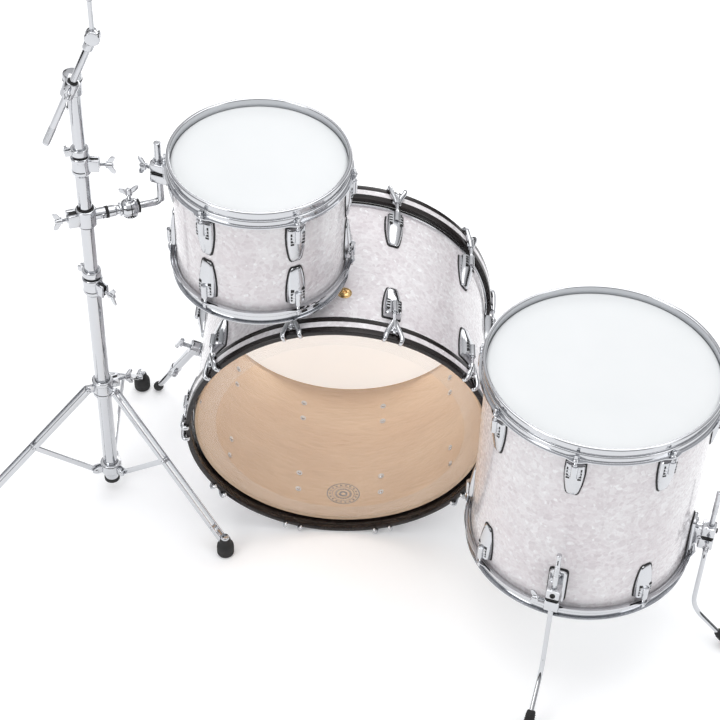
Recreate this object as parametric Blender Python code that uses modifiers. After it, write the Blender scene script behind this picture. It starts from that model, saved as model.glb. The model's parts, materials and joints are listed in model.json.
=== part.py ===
"""Acoustic drum kit: bass drum with spurs, rack tom on a tripod boom stand, floor tom on three legs.

Metres, +Z up. The player sits on the -Y side. Every sub-part is one named object; a piece that
moves has its own origin on its joint's axis and is parented to the piece that carries it.
"""
import math
from collections import namedtuple

import bmesh
import bpy
from mathutils import Matrix, Vector

# ---------------------------------------------------------------- clearances
GAP = 0.0003                  # between faces that touch
BORE_CLEARANCE = 0.0004       # radial, between a rod or tube and what it slides in
TURN_CLEARANCE = 0.0008       # radial, round a tube that a clamp turns on
SEAT_CLEARANCE = 0.0006       # between a flat casting and the round shell behind it
FUSE = 0.0006                 # how far joined shapes run into each other

# ---------------------------------------------------------------- drums
Drum = namedtuple("Drum", "name radius depth wall segments lugs phase rod_offset lug_inset")
BASS = Drum("bass", 0.2794, 0.3556, 0.0065, 40, 10, 0.0, 0.0190, 0.045)
RACK = Drum("rack_tom", 0.1524, 0.2286, 0.0055, 30, 6, -63.0, 0.0125, 0.030)
FLOOR = Drum("floor_tom", 0.2032, 0.4064, 0.0055, 32, 8, -16.0, 0.0125, 0.030)

BASS_TILT = 5.0               # degrees that the spurs lift the front end
BASS_FOOT_Y = -0.198          # where the batter hoop stands on the floor
RACK_TOP = (-0.154, -0.109, 0.850)
RACK_TILT = 2.5               # degrees towards the player
FLOOR_TOP = (0.455, -0.372, 0.631)

FILM = 0.0005                 # head film
FLESH_WIDTH = 0.0050          # flesh hoop of a head, radial
FLESH_HEIGHT = 0.0080
TOM_FLESH_DROP = 0.0062       # below the bearing edge
BASS_FLESH_DROP = 0.0200
VENT_RADIUS = 0.0065
VENT_SIDES = 8
BASS_VENT = (90.0, 0.085)      # degrees round the drum, and height above its middle
RACK_VENT = (27.0, 0.0)
FLOOR_VENT = (35.0, 0.0)

# pressed steel hoop of a tom: wall, shoulder, flange and rolled lip
HOOP_METAL = 0.0022
HOOP_RISE = 0.0145            # lip above the head
HOOP_LIP = 0.0052
HOOP_LIP_DROP = 0.0010        # the lip falls this much towards its rim
HOOP_LIP_HEIGHT = 0.0035      # underside of the lip below the top
HOOP_SKIRT = 0.0100           # shoulder height round the flesh hoop
HOOP_FLANGE = 0.0066
TOM_ROD_PROUD = 0.0060        # head of a tom rod above the flange

# wooden hoop of the bass drum and the claws that pull on it
WOOD_HOOP_RADIUS = 0.2935
WOOD_HOOP_WIDTH = 0.0380
WOOD_HOOP_WALL = 0.0105
CLAW_WIDTH = 0.018
CLAW_THICKNESS = 0.0045
CLAW_LENGTH = 0.046
CLAW_GRIP = 0.008
ROD_RADIUS = 0.0030
BASS_ROD_PROUD = 0.0080       # head of a bass rod above the hoop

LUG_LENGTH = 0.074
LUG_WIDTH = 0.028
LUG_HOUSING_RADIUS = 0.0080
LUG_HOUSING_LENGTH = 0.022
LUG_SINK = 0.0026             # foot of a lug in the shell wall
LUG_NARROW = 0.55             # width at the tail and at the crest, as a share of the width
LUG_TAIL_HEIGHT = 0.45        # height at the tail, as a share of the height
LUG_CHAMFER = 0.0060
LUG_CREST = 0.60              # crest above the rod's axis, as a share of the housing's radius

# ---------------------------------------------------------------- wing bolts and T bolts
WING_SHANK_RADIUS = 0.0034
WING_SHANK_ENGAGED = 0.0030   # how far the shank reaches into the hub
WING_HUB_RADII = (0.0062, 0.0048)
WING_HUB_SPAN = (0.0110, 0.0230)
WINGS = (0.0360, 0.0034, 0.0120)
WINGS_HEIGHT = 0.0205
TEE_SHANK_RADIUS = 0.0050
TEE_BAR_RADIUS = 0.0042
TEE_BAR_HALF_LENGTH = 0.0220
TEE_BAR_HEIGHT = 0.0215

# ---------------------------------------------------------------- bass drum spurs
SPUR_ANGLE = 105.0            # degrees down from the top of the drum
SPUR_STATION = -0.100         # along the drum, towards the front
SPUR_STANDOFF = 0.038
SPUR_TIP = (0.405, 0.200)     # where the tips stand on the floor
SPUR_TUBE_RADIUS = 0.0095
SPUR_ROD_RADIUS = 0.0068
SPUR_TUBE_LENGTH = 0.150
SPUR_HEAD_RADIUS = 0.0150
SPUR_HEAD_HEIGHT = 0.022
SPUR_TIP_RADIUS = 0.0105
SPUR_PLATE = (0.012, 0.046, 0.060)
SPUR_BOSS_RADIUS = 0.0130
SPUR_BOSS_REACH = 0.0400      # from the hinge, inwards
SPUR_TUBE_START = 0.0040
SPUR_BORE_FLOOR = 0.0020      # bottom of the bore outside the round head
SPUR_ROD_START = 0.0620
SPUR_ROD_STOP = 0.0040        # end of the rod inside its rubber tip
KEEP_OUT = 0.20               # side of the block that trims a casting at the shell

# ---------------------------------------------------------------- floor tom legs
LEG_ANGLES = (-106.0, -16.0, 119.0)    # each bracket takes the place of a lower lug
LEG_RADIUS = 0.00475
LEG_OFFSET = 0.036            # leg axis outside the shell
LEG_TOP = 0.405               # above the floor
LEG_BEND = 0.090
LEG_REACH = 0.082             # how far the foot stands outside the straight leg
LEG_FOOT_RADIUS = 0.0145
LEG_BRACKET = (0.046, 0.032, 0.080)
LEG_BRACKET_RISE = 0.067      # middle of a bracket above the lower bearing edge
LEG_BOLT_DROP = 0.010         # wing bolt below the middle of its bracket
BRACKET_BODY = (0.84, 0.72)   # width and height of a bracket's body, as shares of its flange
BRACKET_FLANGE = 0.0070
LEG_CORNER = 0.022            # cut of the bend along each of its legs
LEG_SLEEVE_RADII = (0.0085, 0.0105)
LEG_SLEEVE_LENGTH = 0.022
LEG_SLEEVE_START = 0.0140     # above the round of the foot

# ---------------------------------------------------------------- tom arm
ARM_Z = 0.700
ROD_R = 0.0064
TOM_BRACKET_ANGLE = 162.0
TOM_BRACKET = (0.054, 0.038, 0.060)
TOM_ROD_OFFSET = 0.042
TOM_BRACKET_DROP = 0.080      # below the bearing edge
TOM_ROD_TOP = 0.020           # below the bearing edge
ARM_BEND = 0.018
RECEIVER_DISTANCE = 0.058     # from the upright of the rod
RECEIVER = (0.032, 0.032, 0.036)
ROD_TAIL = 0.010              # the rod ends this far past the receiver's middle
CLAMP_ARM_RADIUS = 0.0105
CLAMP_HEIGHT = 0.036
CLAMP_JAW = (0.020, 0.026, 0.024)
RECEIVER_BEVEL = 0.005
CORNER_BULGE = 0.29           # middle point of a rounded corner, as a share of its two cuts

# ---------------------------------------------------------------- stand
POLE = (-0.467, -0.095)
BASE_TUBE_RADIUS = 0.0143
TUBE_WALL = 0.0012
MIDDLE_TUBE_RADIUS = BASE_TUBE_RADIUS - TUBE_WALL - BORE_CLEARANCE
UPPER_TUBE_RADIUS = MIDDLE_TUBE_RADIUS - TUBE_WALL - BORE_CLEARANCE
BASE_BOTTOM = 0.028
HUB_Z = 0.062
COLLAR_Z = 0.284
BASE_TOP = 0.560
MIDDLE_BOTTOM = 0.400
MIDDLE_TOP = 0.832
UPPER_BOTTOM = 0.660
UPPER_TOP = 0.972
CLAMP_RING = 0.0060           # wall of a collar round its tube
CLAMP_RING_HEIGHT = 0.034
TUBE_HEAD_WALL = 0.0045       # clamp head at the top of a tube, outside the tube
TUBE_HEAD_TAPER = 0.0040
TUBE_LIP = (0.020, 0.018, 0.024)
BASE_BOLT_TURN = -40.0
HUB_WALL = 0.0070
HUB_HALF_HEIGHT = 0.0120
FORK_THICKNESS = 0.0030
FORK_SPARE = 0.0010           # between a fork and its strut, both sides together
FORK_HEIGHT = 0.0160
FORK_OVERHANG = 0.0080        # past the pivot
FORK_ROOT = 0.0030            # outside the tube
COLLAR_HEIGHT = 0.040
COLLAR_EAR = (0.024, 0.014)   # length and height
COLLAR_EAR_SPARE = 0.0015     # between an ear and the bars, both sides together
COLLAR_EAR_BACK = 0.0060      # middle of an ear inside the pivot
COLLAR_LIP = (0.016, 0.016, 0.022)
COLLAR_LIP_TURN = 25.0
COLLAR_LIP_RISE = 0.0060
TRIPOD_AZIMUTHS = (-35.0, 85.0, 205.0)
TRIPOD_PIVOT_RADIUS = 0.032
TRIPOD_FOOT_RADIUS = 0.300    # from the pole to a foot
TRIPOD_BRACE = 0.165          # along a leg, from its hinge to the strut
LEG_BAR = (0.0030, 0.0120)    # thickness and width of a flat bar
LEG_BAR_SPACING = 0.0095      # clear width between the two bars
LEG_BAR_OVERHANG = 0.0040     # of a bar past its hinge
LEG_SPACER = (0.020, 0.80)    # length, and width as a share of a bar's
LEG_SPACER_BACK = 0.0160      # middle of the spacer, back from the foot
STRUT_WIDTH = 0.0100
STRUT_OVERHANG = 0.0080       # both ends together
STRUT_THICKNESS = 0.0060
STAND_FOOT_RADIUS = 0.017
STAND_FOOT_HEIGHT = 0.030
STAND_FOOT_NECK = 0.010       # radius of a foot's upper face
STAND_FOOT_FACE = 0.014       # radius of its flat underside
STAND_FOOT_CROWN = 0.0040     # upper face above the foot's middle
STAND_FOOT_SHOULDER = 0.0080  # widest part below its middle

# ---------------------------------------------------------------- boom
BOOM_LEAN = 24.0              # degrees from upright, towards +X
BOOM_RADIUS = 0.0064
BOOM_OFFSET = 0.030           # beside the pole, on the player's side
BOOM_BELOW = 0.125
BOOM_ABOVE = 0.098
TILTER_Z = 0.990
HOLDER = (0.026, 0.022, 0.030)
CYMBAL_ROD_RADIUS = 0.0040
CYMBAL_ROD_LENGTH = 0.135
TILTER_WALL = 0.0050
TILTER_CROWN = 0.0140         # top of the tilter's cap above the boom's axis
TILTER_SKIRT = 0.0300
TILTER_STUB_RADIUS = 0.0090
TILTER_STUB_START = 0.0020
HOLDER_BEVEL = 0.0040
KNUCKLE_RADIUS = 0.0130
KNUCKLE_HALF_WIDTH = 0.0100
KNUCKLE_RISE = 0.0140         # hinge of the cymbal tilter past the boom's end
CYMBAL_ROD_START = 0.0080
WASHER_RADIUS = 0.0190
WASHER_SPAN = (0.078, 0.082)  # along the cymbal rod

TUBE_SIDES = 12
ROD_SIDES = 6
SMALL_SIDES = 8
BALL_STEPS = (10, 6)
CUT_MARGIN = 0.010            # how far a bore cutter runs past the face that it opens

PEARL = ("white_pearl_wrap", (0.86, 0.84, 0.84), 0.18, 0.0)
CHROME = ("chrome", (0.80, 0.81, 0.83), 0.08, 1.0)
CLEAR_FILM = ("clear_head_film", (0.90, 0.86, 0.80), 0.10, 0.0)
COATED_FILM = ("coated_head_film", (0.93, 0.94, 0.94), 0.55, 0.0)
BLACK_HOOP = ("black_lacquer", (0.03, 0.025, 0.025), 0.22, 0.0)
RUBBER = ("black_rubber", (0.02, 0.02, 0.02), 0.75, 0.0)

CASTING_BEVEL = 0.003
EVALUATED_TOLERANCE = 0.00001
SHARP_ANGLE = math.radians(35)

parts = bpy.data.collections.new("acoustic_drum_kit")
world_of = {}


# ================================================================ helpers
def clear_scene():
    for obj in list(bpy.data.objects):
        bpy.data.objects.remove(obj, do_unlink=True)
    bpy.context.scene.collection.children.link(parts)


def material(name, colour, roughness, metallic):
    mat = bpy.data.materials.get(name)
    if mat is None:
        mat = bpy.data.materials.new(name)
        mat.use_nodes = True
        shader = mat.node_tree.nodes["Principled BSDF"]
        shader.inputs["Base Color"].default_value = (*colour, 1.0)
        shader.inputs["Roughness"].default_value = roughness
        shader.inputs["Metallic"].default_value = metallic
        mat.diffuse_color = (*colour, 1.0)
    return mat


def evaluated(obj):
    """The mesh of an object with its modifiers applied; the object itself is removed."""
    depsgraph = bpy.context.evaluated_depsgraph_get()
    depsgraph.update()
    mesh = bpy.data.meshes.new_from_object(obj.evaluated_get(depsgraph), depsgraph=depsgraph)
    bpy.data.objects.remove(obj, do_unlink=True)
    return mesh


def scratch_object(data):
    obj = bpy.data.objects.new("scratch", data)
    bpy.context.scene.collection.objects.link(obj)
    return obj


def cleaned(mesh):
    """Welds a mesh and turns its faces outwards."""
    bm = bmesh.new()
    bm.from_mesh(mesh)
    bmesh.ops.remove_doubles(bm, verts=bm.verts, dist=EVALUATED_TOLERANCE)
    bmesh.ops.recalc_face_normals(bm, faces=bm.faces)
    bm.to_mesh(mesh)
    bm.free()
    return mesh


def moved(mesh, matrix):
    mesh = mesh.copy()
    mesh.transform(matrix)
    if matrix.determinant() < 0:
        mesh.flip_normals()
    return mesh


def at(x, y, z):
    return Matrix.Translation((x, y, z))


def turn(degrees, axis="Z"):
    return Matrix.Rotation(math.radians(degrees), 4, axis)


def frame_at(origin, z_axis, x_hint):
    """A right-handed frame with its Z along z_axis and its X as near x_hint as it can be."""
    z = Vector(z_axis).normalized()
    x = (Vector(x_hint) - z * z.dot(Vector(x_hint))).normalized()
    y = z.cross(x)
    frame = Matrix((x, y, z)).transposed().to_4x4()
    frame.translation = Vector(origin)
    return frame


def grouped(meshes):
    """Several separate meshes as one, for a single Boolean."""
    bm = bmesh.new()
    for mesh in meshes:
        bm.from_mesh(mesh)
    result = bpy.data.meshes.new("group")
    bm.to_mesh(result)
    bm.free()
    return result


def boolean(base, tool, operation):
    obj = scratch_object(base)
    tool_obj = scratch_object(tool)
    cut = obj.modifiers.new(operation.lower(), "BOOLEAN")
    cut.operation = operation
    cut.solver = "EXACT"
    cut.object = tool_obj
    mesh = evaluated(obj)
    bpy.data.objects.remove(tool_obj, do_unlink=True)
    return cleaned(mesh)


def fused(base, *others):
    for other in others:
        base = boolean(base, other, "UNION")
    return base


def carved(base, *cutters):
    for cutter in cutters:
        base = boolean(base, cutter, "DIFFERENCE")
    return base


def box(size, centre=(0, 0, 0)):
    bm = bmesh.new()
    bmesh.ops.create_cube(bm, size=1.0, matrix=at(*centre) @ Matrix.Diagonal((*size, 1.0)))
    mesh = bpy.data.meshes.new("box")
    bm.to_mesh(mesh)
    bm.free()
    return mesh


def bevelled_box(size, centre, width):
    obj = scratch_object(box(size, centre))
    bevel = obj.modifiers.new("bevel", "BEVEL")
    bevel.width = width
    bevel.segments = 1
    return cleaned(evaluated(obj))


def cylinder(radius, low, high, sides=SMALL_SIDES, top_radius=None):
    """A cylinder or cone on Z from low to high."""
    bm = bmesh.new()
    bmesh.ops.create_cone(
        bm, cap_ends=True, segments=sides, radius1=radius,
        radius2=radius if top_radius is None else top_radius,
        depth=high - low, matrix=at(0, 0, (low + high) / 2),
    )
    mesh = bpy.data.meshes.new("cylinder")
    bm.to_mesh(mesh)
    bm.free()
    return mesh


def along_x(mesh):
    """Lays a mesh that was built on Z along X."""
    return moved(mesh, turn(90, "Y"))


def turned(profile, segments):
    """A profile of (radius, height) points turned round Z; it is closed or ends on the axis."""
    mesh = bpy.data.meshes.new("profile")
    count = len(profile)
    on_axis = profile[0][0] == 0
    edges = [(i, i + 1) for i in range(count - 1)]
    if not on_axis:
        edges.append((count - 1, 0))
    mesh.from_pydata([(r, 0, z) for r, z in profile], edges, [])
    obj = scratch_object(mesh)
    screw = obj.modifiers.new("screw", "SCREW")
    screw.steps = segments
    screw.render_steps = segments
    screw.use_merge_vertices = True
    screw.merge_threshold = EVALUATED_TOLERANCE
    return cleaned(evaluated(obj))


def bent_rod(points, radius):
    """A round rod along straight runs between points, with closed ends."""
    curve = bpy.data.curves.new("rod", "CURVE")
    curve.dimensions = "3D"
    curve.bevel_depth = radius
    curve.bevel_resolution = 2
    curve.use_fill_caps = True
    spline = curve.splines.new("POLY")
    spline.points.add(len(points) - 1)
    for point, place in zip(spline.points, points):
        point.co = (*place, 1.0)
    return cleaned(evaluated(scratch_object(curve)))


def rounded_corner(before, corner, after, cut):
    """Three points that replace a sharp corner of a bent rod."""
    back = (Vector(before) - Vector(corner)).normalized() * cut
    ahead = (Vector(after) - Vector(corner)).normalized() * cut
    middle = Vector(corner) + (back + ahead) * CORNER_BULGE
    return [Vector(corner) + back, middle, Vector(corner) + ahead]


def place(name, mesh, finish, frame, carrier=None):
    """Adds one sub-part: its mesh is in its own frame, and frame puts it in the world."""
    mesh = mesh.copy()
    mesh.name = name
    mesh.shade_smooth()
    mesh.set_sharp_from_angle(angle=SHARP_ANGLE)
    mesh.materials.clear()
    mesh.materials.append(material(*finish))
    obj = bpy.data.objects.new(name, mesh)
    parts.objects.link(obj)
    world_of[name] = frame.copy()
    if carrier is not None:
        obj.parent = bpy.data.objects[carrier]
        obj.matrix_parent_inverse = world_of[carrier].inverted()
    obj.matrix_basis = frame
    return obj


# ================================================================ drum pieces
def lug_angles(drum):
    return [drum.phase + 360 * i / drum.lugs for i in range(drum.lugs)]


def collar_radius(drum):
    """Inside of the head's collar, outside the shell."""
    return drum.radius + BORE_CLEARANCE


def head_mesh(drum, drop):
    """Film over the bearing edge, down to the flesh hoop, for the +Z end."""
    edge = drum.depth / 2
    inner = collar_radius(drum)
    film_outer = inner + 2 * FILM
    flesh_outer = inner + FLESH_WIDTH
    return turned([
        (0, edge + GAP + FILM),
        (film_outer, edge + GAP + FILM),
        (film_outer, edge - drop),
        (flesh_outer, edge - drop),
        (flesh_outer, edge - drop - FLESH_HEIGHT),
        (inner, edge - drop - FLESH_HEIGHT),
        (inner, edge + GAP),
        (0, edge + GAP),
    ], drum.segments)


def lug_mesh(drum):
    """Cast lug for the +Z end, its back on the shell: X outward, Z towards the hoop."""
    bm = bmesh.new()
    height = drum.rod_offset + LUG_HOUSING_RADIUS * LUG_CREST
    bmesh.ops.create_cube(bm, size=1.0)
    for vert in bm.verts:
        outer = vert.co.x > 0
        near_hoop = vert.co.z > 0
        width = LUG_WIDTH * (LUG_NARROW if outer else 1.0) * (1.0 if near_hoop else LUG_NARROW)
        vert.co.x = (height if near_hoop else height * LUG_TAIL_HEIGHT) if outer else -LUG_SINK
        vert.co.y = math.copysign(width / 2, vert.co.y)
        inset = LUG_CHAMFER if outer else 0.0
        vert.co.z = -inset if near_hoop else -LUG_LENGTH + 2 * inset
    body = bpy.data.meshes.new("lug")
    bm.to_mesh(body)
    bm.free()
    housing = cylinder(LUG_HOUSING_RADIUS, -LUG_HOUSING_LENGTH, 0, ROD_SIDES)
    return fused(cleaned(body), moved(housing, at(drum.rod_offset, 0, 0)))


def both_ends(drum, mesh, inset, bare):
    """Copies of a +Z end fitting at the lug angles of both ends; the -Z end has none at the bare angles."""
    copies = []
    for side in (1, -1):
        flip = Matrix.Diagonal((1, 1, side, 1))
        for angle in lug_angles(drum):
            if side < 0 and any((angle - other) % 360 == 0 for other in bare):
                continue
            copies.append(moved(mesh, flip @ turn(angle) @ at(drum.radius, 0, drum.depth / 2 - inset)))
    return copies


def shell_mesh(drum, vent_angle, vent_height, bare):
    half = drum.depth / 2
    inner = drum.radius - drum.wall
    ring = turned([(drum.radius, half), (drum.radius, -half), (inner, -half), (inner, half)], drum.segments)
    lugs = grouped(both_ends(drum, lug_mesh(drum), drum.lug_inset, bare))
    vent = along_x(cylinder(VENT_RADIUS, drum.radius - 2 * drum.wall, drum.radius + drum.wall, VENT_SIDES))
    return carved(fused(ring, lugs), moved(vent, turn(vent_angle) @ at(0, 0, vent_height)))


def tension_rods(drum, top):
    """Rods of the +Z end, from just above the lugs up to top."""
    rod = cylinder(ROD_RADIUS, drum.depth / 2 - drum.lug_inset + GAP, top, ROD_SIDES)
    place_x = drum.radius + drum.rod_offset
    return grouped([moved(rod, turn(angle) @ at(place_x, 0, 0)) for angle in lug_angles(drum)])


def steel_hoop_mesh(drum):
    """Triple-flanged hoop of the +Z end with its tension rods."""
    edge = drum.depth / 2
    film = collar_radius(drum) + 2 * FILM
    inner = film + BORE_CLEARANCE
    wall = inner + HOOP_METAL
    skirt_inner = collar_radius(drum) + FLESH_WIDTH + BORE_CLEARANCE
    skirt = skirt_inner + HOOP_METAL
    seat = edge - TOM_FLESH_DROP + GAP
    low = seat - HOOP_SKIRT
    hoop = turned([
        (inner, edge + HOOP_RISE),
        (inner + HOOP_LIP, edge + HOOP_RISE - HOOP_LIP_DROP),
        (inner + HOOP_LIP, edge + HOOP_RISE - HOOP_LIP_HEIGHT),
        (wall, edge + HOOP_RISE - HOOP_LIP_HEIGHT),
        (wall, seat + HOOP_METAL),
        (skirt, seat + HOOP_METAL),
        (skirt, low),
        (skirt + HOOP_FLANGE, low),
        (skirt + HOOP_FLANGE, low - HOOP_METAL),
        (skirt_inner, low - HOOP_METAL),
        (skirt_inner, seat),
        (inner, seat),
    ], drum.segments)
    return fused(hoop, tension_rods(drum, low + TOM_ROD_PROUD))


def wood_hoop_mesh(drum):
    """Wooden bass hoop of the +Z end with claws and tension rods."""
    seat = drum.depth / 2 - BASS_FLESH_DROP + GAP
    face = seat + WOOD_HOOP_WIDTH
    inner = WOOD_HOOP_RADIUS - WOOD_HOOP_WALL
    ring = turned([
        (WOOD_HOOP_RADIUS, face), (WOOD_HOOP_RADIUS, seat), (inner, seat), (inner, face),
    ], drum.segments)
    arm_x = WOOD_HOOP_RADIUS * math.cos(math.pi / drum.segments) - FUSE
    claw_face = arm_x + CLAW_THICKNESS
    grip = CLAW_GRIP + CLAW_THICKNESS
    arm = box((CLAW_THICKNESS, CLAW_WIDTH, CLAW_LENGTH),
              (arm_x + CLAW_THICKNESS / 2, 0, face + CLAW_THICKNESS - CLAW_LENGTH / 2))
    hook = box((grip, CLAW_WIDTH, CLAW_THICKNESS + FUSE),
               (claw_face - grip / 2, 0, face + (CLAW_THICKNESS - FUSE) / 2))
    rod = cylinder(ROD_RADIUS, drum.depth / 2 - drum.lug_inset + GAP, face + BASS_ROD_PROUD, ROD_SIDES)
    claw = fused(arm, hook, moved(rod, at(drum.radius + drum.rod_offset, 0, 0)))
    return fused(ring, grouped([moved(claw, turn(angle)) for angle in lug_angles(drum)]))


def drum_pieces(drum, frame, hoop, drop, vent, carrier=None, upper_film=COATED_FILM,
                hoop_finish=CHROME, ends=("batter", "resonant"), bare=()):
    """Shell, two heads and two hoops of a drum whose +Z end is the batter end."""
    shell = drum.name + "_shell"
    place(shell, shell_mesh(drum, *vent, bare), PEARL, frame, carrier)
    flip = Matrix.Diagonal((1, 1, -1, 1))
    for end, side, film in ((ends[0], Matrix.Identity(4), upper_film), (ends[1], flip, COATED_FILM)):
        place(drum.name + "_" + end + "_head", moved(head_mesh(drum, drop), side), film, frame, shell)
        place(drum.name + "_" + end + "_hoop", moved(hoop, side), hoop_finish, frame, shell)


# ================================================================ screws
def wing_bolt_mesh():
    """Wing bolt on Z: its shank starts at the face that it screws into."""
    shank = cylinder(WING_SHANK_RADIUS, GAP, WING_HUB_SPAN[0] + WING_SHANK_ENGAGED)
    hub = cylinder(WING_HUB_RADII[0], *WING_HUB_SPAN, SMALL_SIDES, WING_HUB_RADII[1])
    wings = box(WINGS, (0, 0, WINGS_HEIGHT))
    return fused(shank, hub, wings)


def tee_bolt_mesh():
    shank = cylinder(TEE_SHANK_RADIUS, GAP, TEE_BAR_HEIGHT)
    bar = along_x(cylinder(TEE_BAR_RADIUS, -TEE_BAR_HALF_LENGTH, TEE_BAR_HALF_LENGTH))
    return fused(shank, moved(bar, at(0, 0, TEE_BAR_HEIGHT)))


# ================================================================ bass drum
def bass_frame():
    """The drum leans back on the lower edge of its batter hoop: +Z towards the player, +Y up."""
    face = BASS.depth / 2 - BASS_FLESH_DROP + GAP + WOOD_HOOP_WIDTH
    return at(0, BASS_FOOT_Y, 0) @ turn(90 + BASS_TILT, "X") @ at(0, WOOD_HOOP_RADIUS, -face)


def build_bass_drum():
    frame = bass_frame()
    drum_pieces(BASS, frame, wood_hoop_mesh(BASS), BASS_FLESH_DROP, BASS_VENT,
                upper_film=CLEAR_FILM, hoop_finish=BLACK_HOOP, ends=("batter", "front"))
    for name, side in (("left", -1), ("right", 1)):
        build_spur(name, side, frame)


def build_spur(name, side, drum_frame):
    angle = 90 - side * SPUR_ANGLE
    radial = turn(angle)
    foot = drum_frame @ radial @ at(BASS.radius, 0, SPUR_STATION)
    pivot = drum_frame @ radial @ Vector((BASS.radius + SPUR_STANDOFF, 0, SPUR_STATION))
    tip = Vector((side * SPUR_TIP[0], SPUR_TIP[1], SPUR_TIP_RADIUS))
    down = (tip - pivot).normalized()
    backwards = (drum_frame.to_3x3() @ Vector((0, 0, 1))).normalized()
    hinge = down.cross(backwards) * side
    hinge = hinge if hinge.x * side > 0 else -hinge
    hinge_frame = frame_at(pivot, hinge, down)

    plate_mesh = bevelled_box(SPUR_PLATE, (SPUR_PLATE[0] / 2 + SEAT_CLEARANCE, 0, 0), CASTING_BEVEL)
    boss = cylinder(SPUR_BOSS_RADIUS, -SPUR_BOSS_REACH, -SPUR_HEAD_HEIGHT / 2 - GAP, TUBE_SIDES)
    boss = moved(boss, foot.inverted() @ hinge_frame)
    keep_out = box((KEEP_OUT, KEEP_OUT, KEEP_OUT), (SEAT_CLEARANCE - KEEP_OUT / 2, 0, 0))
    bracket = "spur_bracket_" + name
    place(bracket, carved(fused(plate_mesh, boss), keep_out), CHROME, foot, "bass_shell")

    head = cylinder(SPUR_HEAD_RADIUS, -SPUR_HEAD_HEIGHT / 2, SPUR_HEAD_HEIGHT / 2, TUBE_SIDES)
    end = SPUR_TUBE_LENGTH
    bore = SPUR_ROD_RADIUS + BORE_CLEARANCE
    tube = along_x(cylinder(SPUR_TUBE_RADIUS, SPUR_TUBE_START, end, TUBE_SIDES))
    hollow = along_x(cylinder(bore, SPUR_HEAD_RADIUS + SPUR_BORE_FLOOR, end + CUT_MARGIN, TUBE_SIDES))
    place("spur_tube_" + name, carved(fused(head, tube), hollow), CHROME, hinge_frame, bracket)

    reach = (tip - pivot).length
    rod = along_x(cylinder(SPUR_ROD_RADIUS, SPUR_ROD_START, reach - SPUR_ROD_STOP, TUBE_SIDES))
    rubber = moved(ball_mesh(SPUR_TIP_RADIUS), hinge_frame.to_3x3().inverted().to_4x4())
    rubber = moved(rubber, at(reach, 0, 0))
    place("spur_rod_" + name, fused(rod, rubber), CHROME, hinge_frame, "spur_tube_" + name)

    bolt_frame = hinge_frame @ at(0, 0, SPUR_HEAD_HEIGHT / 2)
    place("spur_bolt_" + name, tee_bolt_mesh(), CHROME, bolt_frame, "spur_tube_" + name)


def ball_mesh(radius):
    bm = bmesh.new()
    bmesh.ops.create_uvsphere(bm, u_segments=BALL_STEPS[0], v_segments=BALL_STEPS[1], radius=radius)
    mesh = bpy.data.meshes.new("ball")
    bm.to_mesh(mesh)
    bm.free()
    return mesh


# ================================================================ floor tom
def rod_bracket_mesh(size, rod_offset, rod_radius):
    """Casting on a shell, X outward from the shell, bored along Z for a rod at rod_offset."""
    depth, width, height = size
    body_size = (depth, width * BRACKET_BODY[0], height * BRACKET_BODY[1])
    body = bevelled_box(body_size, (depth / 2 + SEAT_CLEARANCE, 0, 0), CASTING_BEVEL)
    flange = box((BRACKET_FLANGE, width, height), (BRACKET_FLANGE / 2 + SEAT_CLEARANCE, 0, 0))
    bore = moved(cylinder(rod_radius + BORE_CLEARANCE, -height, height, TUBE_SIDES), at(rod_offset, 0, 0))
    return carved(fused(flange, body), bore)


def build_floor_tom():
    top = Vector(FLOOR_TOP)
    frame = at(*top) @ at(0, 0, -FLOOR.depth / 2)
    drum_pieces(FLOOR, frame, steel_hoop_mesh(FLOOR), TOM_FLESH_DROP, FLOOR_VENT,
                bare=LEG_ANGLES)
    for index, angle in enumerate(LEG_ANGLES, start=1):
        build_floor_leg(str(index), angle)


def build_floor_leg(index, angle):
    around = at(FLOOR_TOP[0], FLOOR_TOP[1], 0) @ turn(angle)
    height = FLOOR_TOP[2] - FLOOR.depth + LEG_BRACKET_RISE
    bracket = "leg_bracket_" + index
    bracket_frame = around @ at(FLOOR.radius, 0, height)
    mesh = rod_bracket_mesh(LEG_BRACKET, LEG_OFFSET, LEG_RADIUS)
    place(bracket, mesh, CHROME, bracket_frame, "floor_tom_shell")

    side_face = LEG_BRACKET[1] * BRACKET_BODY[0] / 2
    bolt_frame = bracket_frame @ at(LEG_OFFSET, -side_face, -LEG_BOLT_DROP) @ turn(90, "X")
    place("leg_wing_bolt_" + index, wing_bolt_mesh(), CHROME, bolt_frame, bracket)

    leg_frame = around @ at(FLOOR.radius + LEG_OFFSET, 0, height)
    top = Vector((0, 0, LEG_TOP - height))
    bend = Vector((0, 0, LEG_BEND - height))
    ball = Vector((LEG_REACH, 0, LEG_FOOT_RADIUS - height))
    slant = (ball - bend).normalized()
    end = ball - slant * (LEG_FOOT_RADIUS + LEG_SLEEVE_START)
    leg = "floor_leg_" + index
    points = [top] + rounded_corner(top, bend, end, LEG_CORNER) + [end]
    place(leg, bent_rod(points, LEG_RADIUS), CHROME, leg_frame, bracket)

    sleeve_frame = frame_at(end, slant, (0, 1, 0))
    sleeve = cylinder(LEG_SLEEVE_RADII[0], GAP, LEG_SLEEVE_LENGTH, SMALL_SIDES, LEG_SLEEVE_RADII[1])
    sleeve = moved(sleeve, sleeve_frame)
    foot = fused(moved(ball_mesh(LEG_FOOT_RADIUS), at(*ball)), sleeve)
    place("leg_foot_" + index, foot, RUBBER, leg_frame, leg)


# ================================================================ stand
def ring_profile(outer, inner, low, high):
    return [(outer, high), (outer, low), (inner, low), (inner, high)]


def collar_mesh(tube_radius, height):
    """A clamp collar round a tube, centred on Z = 0."""
    inner = tube_radius + BORE_CLEARANCE
    return turned(ring_profile(inner + CLAMP_RING, inner, -height / 2, height / 2), TUBE_SIDES)


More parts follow.
